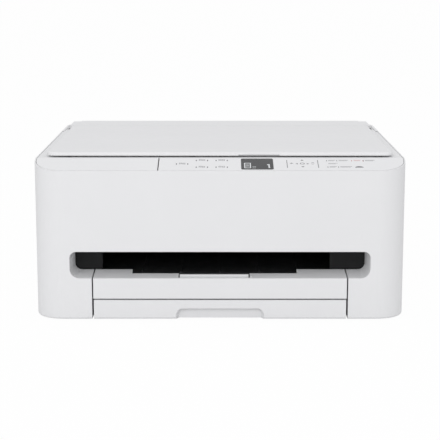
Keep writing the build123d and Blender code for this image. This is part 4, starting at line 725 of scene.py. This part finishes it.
felt = plastic(
    "ink_absorber", (0.66, 0.655, 0.64),
    rough=0.9, grain_mm=0.6, strength=0.8, mottle=0.10, edge_mm=0.2,
)
reference_white = plastic(
    "reference_white", (0.86, 0.86, 0.86),
    rough=0.5, grain_mm=0.5, strength=0.1, mottle=0.01, edge_mm=0.0,
)
lens_glass = plastic(
    "lens_array", (0.02, 0.022, 0.028),
    rough=0.12, grain_mm=1.0, strength=0.1, mottle=0.1, edge_mm=0.1,
)
light_guide = plastic(
    "light_guide", (0.72, 0.74, 0.76),
    rough=0.2, grain_mm=1.0, strength=0.1, mottle=0.03, edge_mm=0.1,
)
label_paper = plastic(
    "blank_label", (0.78, 0.78, 0.77),
    rough=0.5, grain_mm=0.4, strength=0.15, mottle=0.02, edge_mm=0.0,
)
mark_ink = ink_print("moulded_mark_grey", (0.30, 0.30, 0.31))


def scanner_trim():
    """The reference strip under the glass, the sensor's optics, and the marks at the corner of the bed."""
    glass_x, glass_y, glass_z = spans("platen_glass")
    inset, strip_width, strip_height, gap = 2.1, 3.7, 0.07, 0.02
    strip_x = glass_x[0] + inset, glass_x[0] + inset + strip_width
    strip = rectangle(strip_x, (glass_y[0] + 4.25, glass_y[1] - 4.75))
    strip_z = glass_z[0] - gap - strip_height
    plates("reference_strip", "scanner_unit", reference_white, [strip], strip_z, strip_height)
    sensor_x, sensor_y, sensor_z = spans("image_sensor")
    optics_y = sensor_y[0] + 5.5, sensor_y[1] - 6.0
    middle, groove_z = middle_of(sensor_x), sensor_z[1] - 0.9
    guide = rounded((middle - 2.0, middle - 0.2), optics_y, 0.6)
    lens = rounded((middle + 0.6, middle + 1.8), optics_y, 0.5)
    plates("sensor_light_guide", "sensor_unit", light_guide, [guide], groove_z, 0.7)
    plates("sensor_lens", "sensor_unit", lens_glass, [lens], groove_z, 0.6)
    # The triangle shows where a sheet's corner goes, the ticks how far the common sizes reach
    left, front = glass_x[0], glass_y[0]
    side_reaches, front_reaches = (149.75, 211.75), (150.5, 212.0)
    marks = [[(left + 0.5, front + 0.25), (left - 7.0, front - 1.75), (left - 1.5, front - 7.25)]]
    marks += [rectangle((left - 5.5, left - 0.5), tick(front + reach)) for reach in side_reaches]
    marks += [rectangle(tick(left + reach), (front - 5.25, front - 0.25)) for reach in front_reaches]
    plates("bed_corner_marks", "scanner_unit", mark_ink, marks, rim_top + print_lift, print_height)


def lid_recess():
    """The finger recess under the document cover's front edge runs out in a slope."""
    lid_thickness = 3.3
    lid_front = spans("document_cover")[1][0]
    lid_bottom = top_of("document_cover") - lid_thickness
    left, right = 19.7, 59.3
    # From the cover's front and underside
    profile = ((0.1, 1.18), (2.9, 1.18), (2.9, 0.1), (0.9, 0.1))
    slope = bmesh.new()
    along_x = placed((0, 1, 0), (0, 0, 1), (1, 0, 0), (left, 0, 0))
    prism(slope, [(lid_front + y, lid_bottom + z) for y, z in profile], right - left, along_x)
    piece("finger_recess_slope", slope, "lid", materials["white_plastic"])


def mechanism_screws():
    """The screws of the mechanism's cover, of the beam behind the carriage and of the two motors."""
    # The motors hang on plates this thick, and the screw heads lie on the other side
    plate = 2.0
    cover_top = top_of("mechanism_cover")
    places = [(x, y, cover_top) for x in (-150, 150) for y in (-140, -45)]
    screws("mechanism_cover_screws", places, 3.4)
    beam_y, beam_top = 72.5, top_of("chassis")
    screws("beam_screws", [(x, beam_y, beam_top) for x in (-120, -40, 40, 100)], 3.0)
    motor_x, motor_y, motor_z = spans("carriage_motor")
    places = [(x, motor_y[0] - plate, motor_z[1] - 0.9) for x in motor_x]
    screws("carriage_motor_screws", places, 2.2, (0, -1, 0))
    motor_x, motor_y, motor_z = spans("feed_motor")
    middle_y, middle_z, reach = middle_of(motor_y), middle_of(motor_z), 11.5
    places = [(motor_x[0] - plate, middle_y + side * reach, middle_z + reach) for side in (1, -1)]
    screws("feed_motor_screws", places, 2.4, (-1, 0, 0))


def feed_trim():
    """Springs that load the pinch rollers, and the felt between the platen's ribs."""
    holder_y, holder_z = spans("pinch_roller_holder")[1:]
    length, radius, wire, turns = 12, 2.6, 0.45, 7
    springs = bmesh.new()
    for middle in (-90, -30, 30, 90):
        start = (middle - length / 2, holder_y[0] + 5.0, holder_z[1] + radius + SPRING_ARM)
        coil(springs, start, length, radius, wire, turns)
    piece("pinch_springs", springs, "printer_base", spring_wire)
    rib_pitch, margin, felt_y, felt_drop = 20, 1.6, (14, 44), 6.0
    pads = [rectangle((x + margin, x + rib_pitch - margin), felt_y) for x in range(-110, 70, rib_pitch)]
    plates("platen_absorber", "printer_base", felt, pads, top_of("platen") - felt_drop, 2.4)


def cap_outline(middle, growth, radius):
    """The outline of a cap's mouth, grown or shrunk."""
    half_width, front, back = 7.5, 14, 52
    x = middle - half_width - growth, middle + half_width + growth
    return rounded(x, (front - growth, back + growth), radius)


def maintenance_trim():
    """Rubber lips and felt of the two caps, and the wiper blade beside them."""
    middles, lip_out, lip_in = (106, 130), 1.3, -0.2
    station_top = top_of("maintenance_station")
    lips = bmesh.new()
    for middle in middles:
        outer, inner = (cap_outline(middle, growth, 2) for growth in (lip_out, lip_in))
        band(lips, outer, inner, 0.7, standing(0, 0, station_top))
    piece("cap_lips", lips, "printer_base", soft_rubber)
    pads = [cap_outline(middle, lip_in, 1) for middle in middles]
    plates("cap_pads", "printer_base", felt, pads, station_top - 3.0, 1.6)
    blade = rounded((92.4, 93.4), (12, 54), 0.4)
    plates("wiper_blade", "printer_base", soft_rubber, [blade], station_top - 5.0, 5.8)


def cartridge_trim():
    """Blank labels on the cartridges, a drop in each ink's colour, and drops that show each one's place."""
    label_height = 0.08
    label_z = top_of("ink_cartridge_black") - 1.2
    middles = {}
    for name in ("black", "colour"):
        x, y = spans("ink_cartridge_" + name)[:2]
        middles[name] = middle_of(x)
        label = rounded((x[0] + 2.7, x[1] - 2.7), (y[0] + 2.2, y[0] + 12.2), 1)
        plates(name + "_cartridge_label", "carriage_unit", label_paper, [label], label_z, label_height)
    pitch = 7
    for name, x, colour in (
        ("black", middles["black"], (0.02, 0.02, 0.02)),
        ("cyan", middles["colour"] - pitch, (0.02, 0.35, 0.62)),
        ("magenta", middles["colour"], (0.60, 0.04, 0.22)),
        ("yellow", middles["colour"] + pitch, (0.80, 0.62, 0.03)),
    ):
        ink = ink_print("ink_" + name, colour)
        outline = drop(x, 4.6, radius=2.1, tip=9.4)
        plates("ink_drop_" + name, "carriage_unit", ink, [outline], label_z + label_height, print_height)
    marks = [drop(x, -52, radius=3.0, tip=-45) for x in middles.values()]
    marks += [rectangle((x - 4, x + 4), (-62, -61)) for x in middles.values()]
    # An arrow between the two places
    marks.append([(114, -54), (118, -54), (118, -57), (124, -51.5), (118, -46), (118, -49), (114, -49)])
    marks_z = top_of("mechanism_cover") + print_lift
    plates("cartridge_place_marks", "printer_base", mark_ink, marks, marks_z, print_height)


def connectors():
    """The inlet's pins, and the metal and contacts on the data port's tongue."""
    backwards = (0, 1, 0)
    x, y, z = spans("power_inlet")
    middle_x, middle_z, half_pitch = middle_of(x), middle_of(z), 4.3
    pin_profile = [(0, 0), (1.38, 0), (1.38, 10.8), (1.1, 11.3), (0.6, 11.6), (0, 11.7)]
    pins = bmesh.new()
    for side in (-1, 1):
        place = standing(middle_x + side * half_pitch, y[0] + 8.1, middle_z, backwards)
        lathe(pins, pin_profile, place, count=16)
    piece("inlet_pins", pins, "printer_base", nickel)
    x, y, z = spans("data_port")
    middle_x, middle_z, tongue_y, tongue_length = middle_of(x), middle_of(z), y[0] + 7.2, 6.6
    outer = rounded((-2.95, 2.95), (-1.75, 1.75), 0.3)
    inner = rounded((-2.7, 2.7), (-1.5, 1.5), 0.2)
    tongue = bmesh.new()
    band(tongue, outer, inner, tongue_length, standing(middle_x, tongue_y, middle_z, backwards))
    piece("port_tongue_cover", tongue, "printer_base", materials["ink_black"])
    contact_y = tongue_y + 0.3, tongue_y + 6.5
    contacts = [rectangle((x - 0.55, x + 0.55), contact_y) for x in (middle_x - 1.3, middle_x + 1.3)]
    for name, lift in (("upper", 1.76), ("lower", -1.82)):
        plates("port_contacts_" + name, "printer_base", brass, contacts, middle_z + lift, 0.06)


def tray_trim():
    """Near-black pieces shaped as bushes at each end of the output support flap, painted shade that darkens the
    slits there, and the pad and size marks in the cassette.
    """
    flap_x = spans("output_support")[0]
    inset, length, radius = 2.65, 1.0, 2.5
    slit_shade_y, slit_shade_z = -166.0, 43.9
    slit_shade_profile = [(0, 0), (radius, 0), (radius, length), (0, length)]
    # Painted shade: these near-black pieces darken the slits at the flap's ends
    slit_shades = bmesh.new()
    for x in (flap_x[0] + inset, flap_x[1] - inset - length):
        lathe(slit_shades, slit_shade_profile, standing(x, slit_shade_y, slit_shade_z, (1, 0, 0)), count=20)
    piece("flap_slit_shades", slit_shades, "output_tray", slit_shade_plastic)
    floor_top = spans("cassette_tray")[2][0] + 2.0
    plates("cassette_pad", "cassette", cork, [rounded((-15, 15), (106, 130), 3)], floor_top, 0.9)
    half_widths, ends = (105, 91, 74, 51), (-128, -98, -68)
    marks = [rectangle(tick(side * x), (-52, -46)) for side in (-1, 1) for x in half_widths]
    marks += [rectangle((30, 36), tick(y)) for y in ends]
    pale_mark = ink_print("tray_mark_pale", (0.5, 0.5, 0.5))
    plates("cassette_size_marks", "cassette", pale_mark, marks, floor_top + print_lift, print_height)


def rear_tray_marks():
    """Size marks on the chute's sloping back plate."""
    up, normal, origin = (0, 0.567, 0.8237), (0, -0.8237, 0.567), (0, 152, 153)
    back_plate = placed((1, 0, 0), up, normal, origin) @ Matrix.Translation((0, 0, print_lift))
    half_widths, side_places = (51, 74), (-30, -34)
    outlines = [rectangle(tick(side * x), (-14, -7)) for x in half_widths for side in (-1, 1)]
    outlines += [rectangle((-112, -109.5), tick(t)) for t in side_places]
    marks = bmesh.new()
    for outline in outlines:
        prism(marks, outline, print_height, back_plate)
    piece("rear_tray_size_marks", marks, "printer_base", mark_ink)


scanner_trim()
lid_recess()
mechanism_screws()
feed_trim()
maintenance_trim()
cartridge_trim()
connectors()
tray_trim()
rear_tray_marks()


# Floor, lights and camera

def floor_material():
    """A pale floor that the camera sees almost white, with a trace of the object's shadow."""
    camera_share = 0.97
    material, tree, shader = new_material("studio_floor")
    shader.inputs["Base Color"].default_value = (0.84, 0.84, 0.84, 1)
    rough_between(tree, shader, noise(tree, 40.0), 0.75, 0.85)
    glow = tree.nodes.new("ShaderNodeEmission")
    glow.inputs["Color"].default_value = (1, 1, 1, 1)
    path = tree.nodes.new("ShaderNodeLightPath")
    share = arithmetic(tree, "MULTIPLY", path.outputs["Is Camera Ray"], camera_share)
    mix_shaders(tree, share, shader.outputs[0], glow.outputs[0], tree.nodes["Material Output"])
    return material


def studio_world():
    """A soft grey sky that is white to the camera and through glass."""
    world = bpy.data.worlds.new("studio")
    world.use_nodes = True
    tree = world.node_tree
    tree.nodes.clear()
    skies = []
    for colour, strength in (((0.992, 0.992, 1.0, 1), 0.72), ((1, 1, 1, 1), 1.0)):
        sky = tree.nodes.new("ShaderNodeBackground")
        sky.inputs["Color"].default_value = colour
        sky.inputs["Strength"].default_value = strength
        skies.append(sky.outputs[0])
    path = tree.nodes.new("ShaderNodeLightPath")
    seen = arithmetic(tree, "MAXIMUM", path.outputs["Is Camera Ray"], path.outputs["Is Transmission Ray"])
    mix_shaders(tree, seen, *skies, tree.nodes.new("ShaderNodeOutputWorld"))
    bpy.context.scene.world = world


def area_light(name, location, target, size, power):
    """A rectangular light that faces a target."""
    data = bpy.data.lights.new(name, "AREA")
    data.shape = "RECTANGLE"
    data.size, data.size_y = size
    data.energy = power
    obj = bpy.data.objects.new(name, data)
    obj.location = location
    obj.rotation_euler = (Vector(target) - Vector(location)).to_track_quat("-Z", "Y").to_euler()
    bpy.context.scene.collection.objects.link(obj)


def studio_camera():
    """The photograph's view, fitted to the machine's outline."""
    camera = bpy.data.cameras.new("camera")
    camera.lens = 108.7
    camera.sensor_width = 36.0
    camera.clip_start = 0.05
    camera.clip_end = 60.0
    view = bpy.data.objects.new("camera", camera)
    view.location = (0, -1.467, 0.347)
    view.rotation_euler = (radians(79.343), 0, 0)
    bpy.context.scene.collection.objects.link(view)
    bpy.context.scene.camera = view


bpy.ops.mesh.primitive_plane_add(size=30, location=(0, 0, 0))
floor = bpy.context.object
floor.name = "studio_floor"
floor.data.materials.append(floor_material())

studio_world()
area_light("front_softbox", (-0.45, -2.4, 1.25), target=(0, 0, 0.08), size=(1.8, 1.2), power=18)
area_light("top_softbox", (0.1, 0.2, 1.9), target=(0, 0, 0.1), size=(1.8, 1.4), power=5.2)
studio_camera()
bpy.context.scene.view_settings.view_transform = "Standard"
